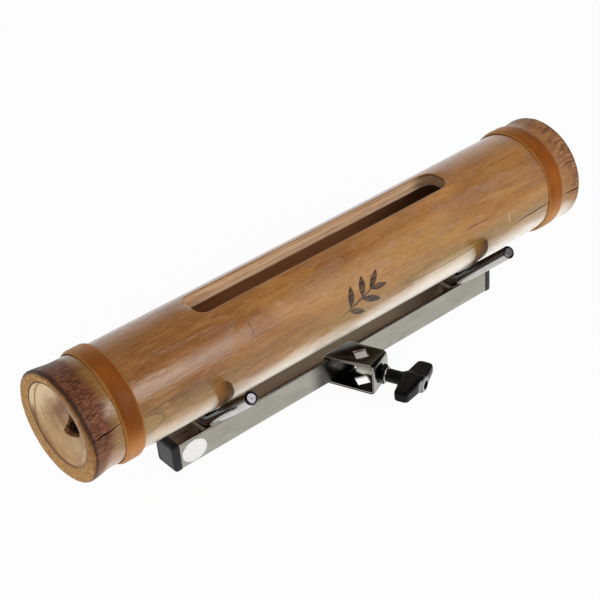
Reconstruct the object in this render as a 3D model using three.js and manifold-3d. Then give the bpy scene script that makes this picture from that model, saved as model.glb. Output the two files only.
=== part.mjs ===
// Bamboo cata: a slotted bamboo tube that is struck with sticks. It lies in two bent-rod
// cradles on a square steel bar, and a wing-screw clamp on the bar holds it to an upright post.
// Millimetres, +Z up. X runs along the bamboo from its near end to its far end, and the
// clamp's screw points towards -Y. The origin is on the post's axis, under the clamp.

import * as THREE from 'three';
import { mergeVertices } from 'three/addons/utils/BufferGeometryUtils.js';
import loadManifold from 'manifold-3d';

const wasm = await loadManifold();
wasm.setup();

// Driving dimensions, in millimetres and degrees

// Gap left between pieces that touch
const SEAT_GAP = 0.3;

// Bamboo culm, measured along its own axis
const CULM_LENGTH = 490;
const CULM_NEAR_DIAMETER = 83;
const CULM_FAR_DIAMETER = 87;
const CULM_WALL = 10.5;
const CULM_SHIFT = -5; // the culm's middle, along the bar from the bar's middle
const NODE_FLARE = 2; // how far the culm swells at its two end nodes
const NODE_REACH = 21; // and how far in from the ends the swelling dies away
const RIM_ROUND = 3.5;
const NEAR_CUT_LEAN = 3; // degrees that the near cut is out of square, further in at the front
const DISH_LIP_DEPTH = 1.2; // the recess in each end, at its edge
const DISH_DEPTH = 9; // and at its middle
const SEPTUM_THICKNESS = 5;
const CHAMBER_FILLET = 7;
const SLOT_LENGTH = 248;
const SLOT_WIDTH = 27;
const SLOT_CORNER = 9;
const BREAK_CORNERS = [[-15, 18], [-22, 4], [-12, -4], [0, -5.5]]; // the broken hole, as y and z from the axis

// Rubber bands
const BAND_WIDTH = 15.5;
const BAND_THICKNESS = 2;
const NEAR_BAND_INSET = 39; // the band's middle, from the culm's end
const FAR_BAND_INSET = 29;

// Bar and its end caps
const BAR_SIDE = 23;
const BAR_WALL = 1.6;
const BAR_CORNER = 1.8;
const BAR_OVERHANG = 31; // past the middle of each cradle rod
const CAP_LIP = 6.5;
const CAP_PROUD = 0.4;
const CAP_BEVEL = 1.2;
const PLUG_LENGTH = 16;
const PLUG_WALL = 2;

// Cradle rods
const ROD_DIAMETER = 10.5;
const ROD_SPACING = 260;
const ROD_ANGLE = 42.5; // of the arms above the bar's top
const ROD_CORNER = 10.2; // the near rod's bend corner, from the bar's middle
const ROD_BEND_RADIUS = 12;
const ROD_REACH = 66.5; // from the bar's middle out to an arm's end
const ROD_CHAMFER = 1.8;

// Screws that hold the culm to the rods
const CULM_SCREW_DIAMETER = 5;
const CULM_SCREW_HEAD = 9.5;
const CULM_SCREW_HEAD_HEIGHT = 3.4;
const CULM_WASHER_DIAMETER = 16;
const CULM_WASHER_THICKNESS = 1.2;
const CULM_SPACER_DIAMETER = 11;
const SPACER_SADDLE = 2; // how far the spacer reaches down over the rod's crown

// Clamp on the bar
const CLAMP_ANGLE = 21; // the screw's axis, from square to the bar
const CLAMP_SHIFT = -5.3; // where that axis crosses the bar's axis, from the bar's middle
const CLAMP_WIDTH = 24;
const CLAMP_SHEET = 2.2;
const CLAMP_BEND = 2.4; // inside radius of the bracket's bends
const CLAMP_LAP = 3.8; // how far the bracket's plates lie over the bar
const POST_HOLE_SIDE = 9.8; // takes a post of 9.5 mm
const POST_OFFSET = 28.6; // the post's axis, from the bar's axis along the screw
const POST_TO_FRONT = 17.2; // from the post's axis to the bracket's outer face

// Wing screw
const THREAD_DIAMETER = 8;
const NUT_ACROSS_FLATS = 14;
const NUT_THICKNESS = 4;
const WASHER_DIAMETER = 13;
const WASHER_THICKNESS = 1.2;
const PAD_PAST_POST = 3.3; // the pad's end, from the post's axis towards the bar
const PAD_DIAMETER = 8.8;
const PAD_LENGTH = 7.7;
const PAD_EDGE = 0.6;
const STEM_DIAMETER = 11;
const STEM_LENGTH = 12;
const HUB_DIAMETER = 15;
const HUB_LENGTH = 20;
const HUB_ROUND = 3;
const HUB_DIMPLE = 5;
const DIMPLE_DEPTH = 3;
const STUD_IN_KNOB = 24;
const WING_SPAN = 47;
const WING_THICKNESS = 8.8;
const WING_TIP_WIDTH = 11;
const WING_ROOT_WIDTH = 19.6;
const WING_EDGE = 1.6; // rounding of the wings' edges
const WING_TILT = -3; // degrees that the wings stand turned about the screw from level

// Number of flats that stand for a full circle
const CULM_SIDES = 64;
const ROD_SIDES = 16;
const ROD_STEPS = 48;
const SMALL_SIDES = 32;

// Places worked out from the driving dimensions

const ROD_RADIUS = ROD_DIAMETER / 2;
const ROD_SLOPE = THREE.MathUtils.degToRad(ROD_ANGLE);
const BAR_LENGTH = ROD_SPACING + 2 * BAR_OVERHANG;
const ROD_Z = ROD_RADIUS + SEAT_GAP; // height of a rod's flat middle over the bar's top
const CLAMP_TURN = THREE.MathUtils.degToRad(CLAMP_ANGLE);
const CLAMP_HEIGHT = BAR_SIDE + 2 * (SEAT_GAP + CLAMP_SHEET);
const FRONT_FACE = POST_OFFSET + POST_TO_FRONT;

// The culm's taper and the swelling at its ends, which make up its outer radius along the bar
function culmTaper(x) {
  const share = (x - CULM_SHIFT) / CULM_LENGTH + 0.5;
  return THREE.MathUtils.lerp(CULM_NEAR_DIAMETER, CULM_FAR_DIAMETER, share) / 2;
}

function culmRadius(x) {
  const inset = CULM_LENGTH / 2 - Math.abs(x - CULM_SHIFT);
  const share = THREE.MathUtils.clamp(inset / NODE_REACH, 0, 1);
  return culmTaper(x) + (NODE_FLARE * (1 + Math.cos(share * Math.PI))) / 2;
}

// Distance from the culm's axis to the middle of an arm that the culm rests on
function armDistance(x) {
  return culmRadius(x) + SEAT_GAP + ROD_RADIUS;
}

// The culm's axis over the bar's top, from the near rod's bend
const CULM_Z =
  ROD_Z +
  (armDistance(-ROD_SPACING / 2) - ROD_CORNER * Math.sin(ROD_SLOPE)) / Math.cos(ROD_SLOPE);

// The bend corner that lets a rod at x touch the culm at that height
function rodCorner(x) {
  return (armDistance(x) - (CULM_Z - ROD_Z) * Math.cos(ROD_SLOPE)) / Math.sin(ROD_SLOPE);
}

// Solids

// A closed three.js geometry as a solid, with its shared vertices merged
function solid(geometry) {
  const bare = new THREE.BufferGeometry();
  const source = geometry.index ? geometry.toNonIndexed() : geometry;
  bare.setAttribute('position', source.getAttribute('position').clone());
  const merged = mergeVertices(bare, 1e-4);
  const corners = merged.index.array;
  const faces = [];
  for (let i = 0; i < corners.length; i += 3) {
    const [a, b, c] = corners.slice(i, i + 3);
    if (a !== b && b !== c && c !== a) faces.push(a, b, c);
  }
  const vertProperties = new Float32Array(merged.getAttribute('position').array);
  const make = (list) =>
    new wasm.Manifold(new wasm.Mesh({ numProp: 3, vertProperties, triVerts: new Uint32Array(list) }));
  const made = make(faces);
  return made.volume() > 0 ? made : make(faces.reverse());
}

// A solid as a three.js geometry
function geometryOf(shape) {
  const mesh = shape.getMesh();
  const geometry = new THREE.BufferGeometry();
  geometry.setAttribute('position', new THREE.BufferAttribute(mesh.vertProperties, 3));
  geometry.setIndex(new THREE.BufferAttribute(mesh.triVerts, 1));
  geometry.computeVertexNormals();
  return geometry;
}

// A body of revolution about Z from [radius, height] pairs
function revolved(profile, sides = SMALL_SIDES) {
  const points = profile.map(([radius, height]) => new THREE.Vector2(Math.max(radius, 0), height));
  return new THREE.LatheGeometry(points, sides).rotateX(Math.PI / 2);
}

// A ring about Z with a square section
function ring(inner, outer, low, high, sides = SMALL_SIDES) {
  return revolved([[inner, low], [outer, low], [outer, high], [inner, high], [inner, low]], sides);
}

// An upright round bar between two heights
function column(diameter, low, high, sides = SMALL_SIDES) {
  const shape = new THREE.CylinderGeometry(diameter / 2, diameter / 2, high - low, sides);
  return shape.rotateX(Math.PI / 2).translate(0, 0, (low + high) / 2);
}

// A rectangle with round corners, as a shape
function roundedRectangle(width, height, corner) {
  const shape = new THREE.Shape();
  const x = width / 2 - corner;
  const y = height / 2 - corner;
  shape.absarc(x, y, corner, 0, Math.PI / 2);
  shape.absarc(-x, y, corner, Math.PI / 2, Math.PI);
  shape.absarc(-x, -y, corner, Math.PI, 1.5 * Math.PI);
  shape.absarc(x, -y, corner, 1.5 * Math.PI, 2 * Math.PI);
  shape.closePath();
  return shape;
}

// A shape pushed out along Z
function pushed(shape, depth, curveSegments = 4) {
  return new THREE.ExtrudeGeometry(shape, { depth, bevelEnabled: false, curveSegments });
}

// Stands a shape drawn in Y and Z upright, so that its depth runs along X
function alongX(geometry) {
  return geometry.rotateX(Math.PI / 2).rotateZ(Math.PI / 2);
}

// Parts

const cata = new THREE.Group();

// Everything is placed from the middle of the bar's top, and this group then moves the
// origin to the post's axis at the bracket's underside.
const instrument = new THREE.Group();
instrument.position.set(
  -CLAMP_SHIFT - POST_OFFSET * Math.sin(CLAMP_TURN),
  POST_OFFSET * Math.cos(CLAMP_TURN),
  (CLAMP_HEIGHT + BAR_SIDE) / 2,
);
cata.add(instrument);

// The clamp is turned about Z, so that its screw points along its own -Y
const clamp = new THREE.Group();
clamp.position.set(CLAMP_SHIFT, 0, -BAR_SIDE / 2);
clamp.rotation.z = CLAMP_TURN;
instrument.add(clamp);

const bamboo = { color: 0xb07a3c, roughness: 0.3, metalness: 0 };
const amberRubber = { color: 0xb5651d, roughness: 0.45, metalness: 0 };
const satinNickel = { color: 0x9c968c, roughness: 0.35, metalness: 1 };
const blackPlastic = { color: 0x1c1d20, roughness: 0.5, metalness: 0 };
const chrome = { color: 0xd8d8d8, roughness: 0.08, metalness: 1 };
const blackNickel = { color: 0x4a4038, roughness: 0.2, metalness: 1 };
const zinc = { color: 0xb8b8b0, roughness: 0.35, metalness: 1 };
const greyRubber = { color: 0x2a2a2a, roughness: 0.8, metalness: 0 };

function addPiece(parent, name, shape, finish) {
  const mesh = new THREE.Mesh(geometryOf(shape), new THREE.MeshStandardMaterial(finish));
  mesh.name = name;
  parent.add(mesh);
}

// The culm's outside at one end, from the flat of the cut round its rounded rim and along the
// swelling, as [radius, height] pairs
function culmEnd(height, towards) {
  const shoulder = height + towards * RIM_ROUND;
  const radius = culmRadius(shoulder);
  const pairs = [];
  for (const share of [0, 0.25, 0.5, 0.75, 1]) {
    const angle = (share * Math.PI) / 2;
    const out = RIM_ROUND * Math.sin(angle);
    const back = RIM_ROUND * (1 - Math.cos(angle));
    pairs.push([radius - RIM_ROUND + out, height + towards * back]);
  }
  const length = NODE_REACH - RIM_ROUND;
  for (const share of [0.35, 0.7, 1]) {
    const place = shoulder + towards * length * share;
    pairs.push([culmRadius(place), place]);
  }
  return pairs;
}

// The dished recess in one end, from its middle to its edge
function dish(edgeRadius, height, towards) {
  const pairs = [];
  for (const share of [0, 0.3, 0.6, 0.85, 1]) {
    const fall = (DISH_DEPTH - DISH_LIP_DEPTH) * Math.cos((share * Math.PI) / 2);
    pairs.push([share * edgeRadius, height + towards * (DISH_LIP_DEPTH + fall)]);
  }
  pairs.push([edgeRadius, height]);
  return pairs;
}

// Culm: the outside with its two dishes, less the chamber between the septa, the slot in the
// top, the break in the near septum and the two screw holes in the bottom
function culmShape() {
  const low = CULM_SHIFT - CULM_LENGTH / 2;
  const high = CULM_SHIFT + CULM_LENGTH / 2;
  const nearRadius = culmTaper(low);
  const farRadius = culmTaper(high);
  const outside = [
    ...dish(nearRadius - CULM_WALL, low, 1),
    ...culmEnd(low, 1),
    ...culmEnd(high, -1).reverse(),
    ...dish(farRadius - CULM_WALL, high, -1).reverse(),
  ];
  const lean = Math.tan(THREE.MathUtils.degToRad(NEAR_CUT_LEAN));
  const cutInset = (y) => lean * (nearRadius + NODE_FLARE - y);
  const chamberLow = low + cutInset(0) + DISH_DEPTH + SEPTUM_THICKNESS;
  const chamberHigh = high - DISH_DEPTH - SEPTUM_THICKNESS;
  const lowRadius = culmTaper(chamberLow) - CULM_WALL;
  const highRadius = culmTaper(chamberHigh) - CULM_WALL;
  const chamber = [
    [0, chamberLow],
    [lowRadius - CHAMBER_FILLET, chamberLow],
    [lowRadius, chamberLow + CHAMBER_FILLET],
    [highRadius, chamberHigh - CHAMBER_FILLET],
    [highRadius - CHAMBER_FILLET, chamberHigh],
    [0, chamberHigh],
  ];
  const layDown = (profile) => solid(revolved(profile, CULM_SIDES).rotateY(Math.PI / 2).translate(0, 0, CULM_Z));

  // The near cut leans, and the lean dies away along the culm
  const leaning = layDown(outside).warp((spot) => {
    const share = (low + DISH_DEPTH + NODE_REACH - spot[0]) / NODE_REACH;
    spot[0] += THREE.MathUtils.clamp(share, 0, 1) * cutInset(spot[1]);
  });

  const cutHeight = Math.max(nearRadius, farRadius) + NODE_FLARE + CULM_WALL;
  const slot = pushed(roundedRectangle(SLOT_LENGTH, SLOT_WIDTH, SLOT_CORNER), cutHeight, 6);
  slot.translate(CULM_SHIFT, 0, CULM_Z);

  const outline = new THREE.Shape(BREAK_CORNERS.map(([y, z]) => new THREE.Vector2(y, z)));
  const breakDepth = chamberLow - low + CULM_WALL;
  const broken = alongX(pushed(outline, breakDepth)).translate(low, 0, CULM_Z);

  let shape = leaning.subtract(layDown(chamber)).subtract(solid(slot)).subtract(solid(broken));
  for (const x of [-ROD_SPACING / 2, ROD_SPACING / 2]) {
    const hole = column(CULM_SCREW_DIAMETER + 2 * SEAT_GAP, CULM_Z - cutHeight, CULM_Z, SMALL_SIDES / 2);
    shape = shape.subtract(solid(hole.translate(x, 0, 0)));
  }
  return shape;
}
addPiece(instrument, 'bamboo_culm', culmShape(), bamboo);

// Rubber bands: rings with rounded outer edges, tapered as the culm is
function bandShape(middle) {
  const low = middle - BAND_WIDTH / 2;
  const high = middle + BAND_WIDTH / 2;
  const edge = BAND_THICKNESS / 2;
  const at = (x, lift) => [culmRadius(x) + SEAT_GAP + lift, x];
  const profile = [
    at(low, 0),
    at(low, edge),
    at(low + edge, BAND_THICKNESS),
    at(high - edge, BAND_THICKNESS),
    at(high, edge),
    at(high, 0),
    at(low, 0),
  ];
  return solid(revolved(profile, CULM_SIDES).rotateY(Math.PI / 2).translate(0, 0, CULM_Z));
}
const nearBand = CULM_SHIFT - CULM_LENGTH / 2 + NEAR_BAND_INSET;
const farBand = CULM_SHIFT + CULM_LENGTH / 2 - FAR_BAND_INSET;
addPiece(instrument, 'near_rubber_band', bandShape(nearBand), amberRubber);
addPiece(instrument, 'far_rubber_band', bandShape(farBand), amberRubber);

// Bar: square tube with its top at z = 0
function barShape() {
  const section = roundedRectangle(BAR_SIDE, BAR_SIDE, BAR_CORNER);
  const inner = BAR_SIDE - 2 * BAR_WALL;
  section.holes.push(roundedRectangle(inner, inner, Math.max(BAR_CORNER - BAR_WALL, SEAT_GAP)));
  return solid(alongX(pushed(section, BAR_LENGTH)).translate(-BAR_LENGTH / 2, 0, -BAR_SIDE / 2));
}
addPiece(instrument, 'mount_bar', barShape(), satinNickel);

// End cap at +X: a bevelled lip and a hollow plug that fits in the bar
function capShape() {
  const lipSide = BAR_SIDE + 2 * CAP_PROUD - 2 * CAP_BEVEL;
  const lip = new THREE.ExtrudeGeometry(roundedRectangle(lipSide, lipSide, BAR_CORNER), {
    depth: CAP_LIP - 2 * CAP_BEVEL,
    bevelThickness: CAP_BEVEL,
    bevelSize: CAP_BEVEL,
    bevelSegments: 2,
    curveSegments: 4,
  });
  const plugSide = BAR_SIDE - 2 * BAR_WALL - 2 * SEAT_GAP;
  const plug = roundedRectangle(plugSide, plugSide, BAR_CORNER / 2);
  const hollow = plugSide - 2 * PLUG_WALL;
  const plugSolid = pushed(plug, PLUG_LENGTH + CAP_BEVEL).translate(0, 0, -PLUG_LENGTH - CAP_BEVEL);
  const hollowSolid = pushed(roundedRectangle(hollow, hollow, BAR_CORNER / 2), PLUG_LENGTH);
  const seat = SEAT_GAP + CAP_BEVEL;
  return solid(alongX(lip).translate(seat, 0, 0))
    .add(solid(alongX(plugSolid).translate(seat + CAP_BEVEL, 0, 0)))
    .subtract(solid(alongX(hollowSolid).translate(-PLUG_LENGTH, 0, 0)));
}
for (const [name, turn] of [['near_end_cap', Math.PI], ['far_end_cap', 0]]) {
  const place = new THREE.Group();
  place.rotation.z = turn;
  place.position.set((Math.cos(turn) * BAR_LENGTH) / 2, 0, -BAR_SIDE / 2);
  instrument.add(place);
  addPiece(place, name, capShape(), blackPlastic);
}

// Cradle rod: a flat middle on the bar and two arms bent up to the culm, with chamfered ends
// and a screw hole through the middle
function rodShape(x) {
  const corner = rodCorner(x);
  const setback = ROD_BEND_RADIUS * Math.tan(ROD_SLOPE / 2);
  const point = (side, out, rise) => new THREE.Vector3(x, side * out, ROD_Z + rise);
  const along = (side, length) =>
    point(side, corner + length * Math.cos(ROD_SLOPE), length * Math.sin(ROD_SLOPE));
  const armLength = (ROD_REACH - corner) / Math.cos(ROD_SLOPE);
  const flat = Math.max(corner - setback, SEAT_GAP);
  const path = new THREE.CurvePath();
  path.add(new THREE.LineCurve3(along(-1, armLength), along(-1, setback)));
  path.add(new THREE.QuadraticBezierCurve3(along(-1, setback), point(-1, corner, 0), point(-1, flat, 0)));
  path.add(new THREE.LineCurve3(point(-1, flat, 0), point(1, flat, 0)));
  path.add(new THREE.QuadraticBezierCurve3(point(1, flat, 0), point(1, corner, 0), along(1, setback)));
  path.add(new THREE.LineCurve3(along(1, setback), along(1, armLength)));
  const section = new THREE.Shape().absarc(0, 0, ROD_RADIUS, 0, 2 * Math.PI);
  const bent = new THREE.ExtrudeGeometry(section, {
    extrudePath: path,
    steps: ROD_STEPS,
    curveSegments: ROD_SIDES / 2,
  });
  let shape = solid(bent);
  const spare = SEAT_GAP;
  for (const side of [-1, 1]) {
    const shaved = revolved([
      [ROD_RADIUS - ROD_CHAMFER - spare, spare],
      [ROD_RADIUS + spare, spare],
      [ROD_RADIUS + spare, -ROD_CHAMFER - spare],
      [ROD_RADIUS - ROD_CHAMFER - spare, spare],
    ]);
    const place = new THREE.Object3D();
    place.position.copy(along(side, armLength));
    place.rotation.x = -side * (Math.PI / 2 - ROD_SLOPE);
    place.updateMatrix();
    shape = shape.subtract(solid(shaved.applyMatrix4(place.matrix)));
  }
  const hole = column(CULM_SCREW_DIAMETER + 2 * SEAT_GAP, -ROD_DIAMETER, 2 * ROD_DIAMETER, SMALL_SIDES / 2);
  return shape.subtract(solid(hole.translate(x, 0, 0)));
}

// Spacer: a rubber sleeve between a rod's crown and the culm, cut to both curves
function spacerShape(x) {
  const crown = ROD_Z + ROD_RADIUS;
  const sleeve = column(CULM_SPACER_DIAMETER, crown - SPACER_SADDLE, CULM_Z);
  const hole = column(CULM_SCREW_DIAMETER + 2 * SEAT_GAP, 0, CULM_Z + ROD_DIAMETER, SMALL_SIDES / 2);
  const across = column(ROD_DIAMETER + 2 * SEAT_GAP, -ROD_REACH, ROD_REACH).rotateX(Math.PI / 2);
  const half = CULM_SPACER_DIAMETER;
  const reach = [-half, half].map((step) => [culmRadius(x + step) + SEAT_GAP, x + step]);
  const culm = revolved([[0, x - half], ...reach, [0, x + half]], 2 * CULM_SIDES);
  return solid(sleeve.translate(x, 0, 0))
    .subtract(solid(hole.translate(x, 0, 0)))
    .subtract(solid(across.translate(x, 0, ROD_Z)))
    .subtract(solid(culm.rotateY(Math.PI / 2).translate(0, 0, CULM_Z)));
}

// Height of the underside of a washer that lies in the culm's curved bottom
function washerSeat(x) {
  const inner = culmRadius(x) - CULM_WALL;
  const half = CULM_WASHER_DIAMETER / 2;
  return CULM_Z - Math.sqrt(inner * inner - half * half) + SEAT_GAP;
}

function washerShape(x) {
  const seat = washerSeat(x);
  const bore = CULM_SCREW_DIAMETER / 2 + SEAT_GAP;
  return solid(ring(bore, CULM_WASHER_DIAMETER / 2, seat, seat + CULM_WASHER_THICKNESS).translate(x, 0, 0));
}

// Screw: a low domed head on the washer and a shank down to the rod's underside
function screwShape(x) {
  const seat = washerSeat(x) + CULM_WASHER_THICKNESS + SEAT_GAP;
  const head = CULM_SCREW_HEAD / 2;
  const shank = CULM_SCREW_DIAMETER / 2;
  const dome = CULM_SCREW_HEAD_HEIGHT / 2;
  const profile = [
    [0, ROD_Z - ROD_RADIUS],
    [shank, ROD_Z - ROD_RADIUS],
    [shank, seat],
    [head, seat],
    [head, seat + dome],
    [head - dome, seat + CULM_SCREW_HEAD_HEIGHT],
    [0, seat + CULM_SCREW_HEAD_HEIGHT],
  ];
  return solid(revolved(profile, SMALL_SIDES / 2).translate(x, 0, 0));
}

for (const [end, x] of [['near', -ROD_SPACING / 2], ['far', ROD_SPACING / 2]]) {
  addPiece(instrument, `${end}_cradle_rod`, rodShape(x), chrome);
  addPiece(instrument, `${end}_culm_spacer`, spacerShape(x), greyRubber);
  addPiece(instrument, `${end}_culm_washer`, washerShape(x), zinc);
  addPiece(instrument, `${end}_culm_screw`, screwShape(x), zinc);
}

// Clamp pieces, drawn with the screw's axis along Z and the bar at z = 0, then laid along -Y
function layAlongScrew(geometry) {
  return geometry.rotateX(Math.PI / 2);
}

// Bracket: a strip bent to a U whose plates lie over and under the bar, with square post holes
// set cornerwise in both and a screw hole in its front plate
function bracketShape() {
  const half = CLAMP_HEIGHT / 2;
  const inner = half - CLAMP_SHEET;
  const bend = CLAMP_BEND;
  const outerBend = CLAMP_BEND + CLAMP_SHEET;
  const inside = FRONT_FACE - CLAMP_SHEET;
  const strip = new THREE.Shape();
  strip.moveTo(0, half);
  strip.lineTo(FRONT_FACE - outerBend, half);
  strip.absarc(FRONT_FACE - outerBend, half - outerBend, outerBend, Math.PI / 2, 0, true);
  strip.absarc(FRONT_FACE - outerBend, outerBend - half, outerBend, 0, -Math.PI / 2, true);
  strip.lineTo(0, -half);
  strip.lineTo(0, -inner);
  strip.lineTo(inside - bend, -inner);
  strip.absarc(inside - bend, bend - inner, bend, -Math.PI / 2, 0, false);
  strip.absarc(inside - bend, inner - bend, bend, 0, Math.PI / 2, false);
  strip.lineTo(0, inner);
  strip.closePath();
  const bent = pushed(strip, CLAMP_WIDTH, 5).translate(0, 0, -CLAMP_WIDTH / 2);
  // The strip is drawn outwards along X and up along Y, and stands across the clamp's -Y
  bent.rotateX(Math.PI / 2).rotateZ(-Math.PI / 2);

  // The plates end in a line parallel to the bar, so their back edges are cut on the skew
  const spare = 2 * FRONT_FACE;
  const behind = new THREE.BoxGeometry(spare, spare, spare);
  behind.translate(0, spare / 2 + CLAMP_LAP - BAR_SIDE / 2, 0).rotateZ(-CLAMP_TURN);

  const post = new THREE.BoxGeometry(POST_HOLE_SIDE, POST_HOLE_SIDE, spare);
  post.rotateZ(Math.PI / 4).translate(0, -POST_OFFSET, 0);
  const screwHole = layAlongScrew(column(THREAD_DIAMETER + 2 * SEAT_GAP, inside - CLAMP_SHEET, spare));
  return solid(bent).subtract(solid(behind)).subtract(solid(post)).subtract(solid(screwHole));
}
addPiece(clamp, 'clamp_bracket', bracketShape(), blackNickel);

// Nut, washer, stud and knob follow each other out from the bracket's front
const nutFrom = FRONT_FACE + SEAT_GAP;
const washerFrom = nutFrom + NUT_THICKNESS + SEAT_GAP;
const stemFrom = washerFrom + WASHER_THICKNESS + SEAT_GAP;
const hubFrom = stemFrom + STEM_LENGTH;
const hubTo = hubFrom + HUB_LENGTH;
const boreRadius = THREAD_DIAMETER / 2 + SEAT_GAP;

function nutShape() {
  const outer = NUT_ACROSS_FLATS / Math.sqrt(3);
  const hexagon = new THREE.CylinderGeometry(outer, outer, NUT_THICKNESS, 6);
  hexagon.rotateX(Math.PI / 2).translate(0, 0, nutFrom + NUT_THICKNESS / 2);
  const bore = column(2 * boreRadius, nutFrom - NUT_THICKNESS, nutFrom + 2 * NUT_THICKNESS);
  return solid(layAlongScrew(hexagon)).subtract(solid(layAlongScrew(bore)));
}
addPiece(clamp, 'clamp_nut', nutShape(), blackNickel);

const clampWasher = ring(boreRadius, WASHER_DIAMETER / 2, washerFrom, washerFrom + WASHER_THICKNESS);
addPiece(clamp, 'clamp_washer', solid(layAlongScrew(clampWasher)), zinc);

// Stud: a round pad that meets the post, then the thread as far as its seat in the knob
function studShape() {
  const tip = POST_OFFSET - PAD_PAST_POST;
  const pad = PAD_DIAMETER / 2;
  const thread = THREAD_DIAMETER / 2;
  const end = stemFrom + STUD_IN_KNOB - SEAT_GAP;
  const profile = [
    [0, tip],
    [pad - PAD_EDGE, tip],
    [pad, tip + PAD_EDGE],
    [pad, tip + PAD_LENGTH],
    [thread, tip + PAD_LENGTH],
    [thread, end],
    [0, end],
  ];
  return solid(layAlongScrew(revolved(profile)));
}
addPiece(clamp, 'wing_screw_stud', studShape(), zinc);

// Knob: a stem and a round hub with two flat wings, bored for the stud and dimpled at its end
function knobShape() {
  const stem = STEM_DIAMETER / 2;
  const hub = HUB_DIAMETER / 2;
  const body = revolved([
    [0, stemFrom],
    [stem, stemFrom],
    [stem, hubFrom],
    [hub, hubFrom + (hub - stem)],
    [hub, hubTo - HUB_ROUND],
    [hub - HUB_ROUND * (1 - Math.SQRT1_2), hubTo - HUB_ROUND * (1 - Math.SQRT1_2)],
    [hub - HUB_ROUND, hubTo],
    [0, hubTo],
  ]);

  // The wings are widest at the hub, between these edges, and lie flat along the screw
  const middle = (hubFrom + hubTo) / 2;
  const tipHalf = WING_TIP_WIDTH / 2 - WING_EDGE;
  const rootHalf = WING_ROOT_WIDTH / 2 - WING_EDGE;
  const span = WING_SPAN / 2 - WING_EDGE;
  const outline = new THREE.Shape([
    new THREE.Vector2(span, -tipHalf),
    new THREE.Vector2(span, tipHalf),
    new THREE.Vector2(0, rootHalf),
    new THREE.Vector2(-span, tipHalf),
    new THREE.Vector2(-span, -tipHalf),
    new THREE.Vector2(0, -rootHalf),
  ]);
  const wings = new THREE.ExtrudeGeometry(outline, {
    depth: WING_THICKNESS - 2 * WING_EDGE,
    bevelThickness: WING_EDGE,
    bevelSize: WING_EDGE,
    bevelSegments: 2,
  });
  wings.translate(0, 0, WING_EDGE - WING_THICKNESS / 2).rotateX(Math.PI / 2).translate(0, 0, middle);
  wings.rotateZ(THREE.MathUtils.degToRad(WING_TILT));
  const bore = column(2 * boreRadius, stemFrom - SEAT_GAP, stemFrom + STUD_IN_KNOB);
  const dimple = column(HUB_DIMPLE, hubTo - DIMPLE_DEPTH, hubTo + DIMPLE_DEPTH);
  return solid(layAlongScrew(body))
    .add(solid(layAlongScrew(wings)))
    .subtract(solid(layAlongScrew(bore)))
    .subtract(solid(layAlongScrew(dimple)));
}
addPiece(clamp, 'wing_knob', knobShape(), blackPlastic);

export default cata;
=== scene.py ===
import math

import bmesh
import bpy
import numpy as np
from mathutils import Matrix, Vector, noise


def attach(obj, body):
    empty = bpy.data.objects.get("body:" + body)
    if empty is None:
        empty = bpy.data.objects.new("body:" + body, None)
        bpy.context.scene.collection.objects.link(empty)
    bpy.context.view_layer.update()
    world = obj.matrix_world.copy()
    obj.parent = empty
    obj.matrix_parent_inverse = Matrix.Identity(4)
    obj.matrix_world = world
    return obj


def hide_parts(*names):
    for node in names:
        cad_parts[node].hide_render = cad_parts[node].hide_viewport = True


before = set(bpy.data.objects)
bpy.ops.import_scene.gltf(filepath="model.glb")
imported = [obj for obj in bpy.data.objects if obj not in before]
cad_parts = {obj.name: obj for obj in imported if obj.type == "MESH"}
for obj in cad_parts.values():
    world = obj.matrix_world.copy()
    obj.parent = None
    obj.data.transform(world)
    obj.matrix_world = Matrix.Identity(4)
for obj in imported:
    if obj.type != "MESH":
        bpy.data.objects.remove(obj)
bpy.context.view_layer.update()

# Sizes in millimetres, measured from the middle of the bar's top, as in the part's source
MM = 0.001
SHIFT = Vector((-4.9493, 26.7004, 25.5))
CULM_Z = 60.6836
CULM_NEAR_X, CULM_FAR_X = -250.0, 240.0
CULM_LENGTH = CULM_FAR_X - CULM_NEAR_X
NEAR_DIAMETER, FAR_DIAMETER = 83.0, 87.0
SKIN_PER_DEGREE = 0.742
WALL = 10.5
FLARE, FLARE_REACH = 2.0, 21.0
RIM_ROUND = 3.5
DISH_DEPTH, SEPTUM = 9.0, 5.5
OPENING_RADIUS, OPENING_Y, OPENING_Z = 32.0, -3.2, 4.2
CUT_LEAN = math.tan(math.radians(3.0))
CUT_BACK = NEAR_DIAMETER / 2 + FLARE
APEX_Y, APEX_Z = 6.0, 5.0
SLOT_START, SLOT_END = -129.0, 119.0
SLOT_HALF, SLOT_CORNER = 13.5, 9.0
BAND_WIDTH, BAND_THICK = 15.5, 2.0
BAND_MIDDLES = (CULM_NEAR_X + 39.0, CULM_FAR_X - 29.0)
BAR, BAR_WALL = 23.0, 1.6
BAR_LENGTH = 322.0
LABEL_X, LABEL_DROP = -148.4, 0.6
LABEL_HALF_X, LABEL_HALF_Z = 11.2, 9.2
ROD_RADIUS, ROD_Z = 5.25, 5.55
ROD_X = 130.0
ROD_SLOPE = math.radians(42.5)
ROD_CORNER = {-1: 10.2, 1: 11.77}
ROD_REACH, ROD_BEND = 66.5, 12.0
CLAMP_TURN = math.radians(21.0)
CLAMP_COS, CLAMP_SIN = math.cos(CLAMP_TURN), math.sin(CLAMP_TURN)
CLAMP_X = -5.3
GAP = 0.3
TINT = "MULTIPLY"


def smooth_step(low, high, value):
    t = min(max((value - low) / (high - low), 0.0), 1.0)
    return t * t * (3 - 2 * t)


def taper(x):
    share = (x - CULM_NEAR_X) / CULM_LENGTH
    return (NEAR_DIAMETER + (FAR_DIAMETER - NEAR_DIAMETER) * share) / 2


def culm_radius(x):
    inset = min(x - CULM_NEAR_X, CULM_FAR_X - x)
    share = min(max(inset / FLARE_REACH, 0.0), 1.0)
    return taper(x) + FLARE * (1 + math.cos(share * math.pi)) / 2


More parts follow.
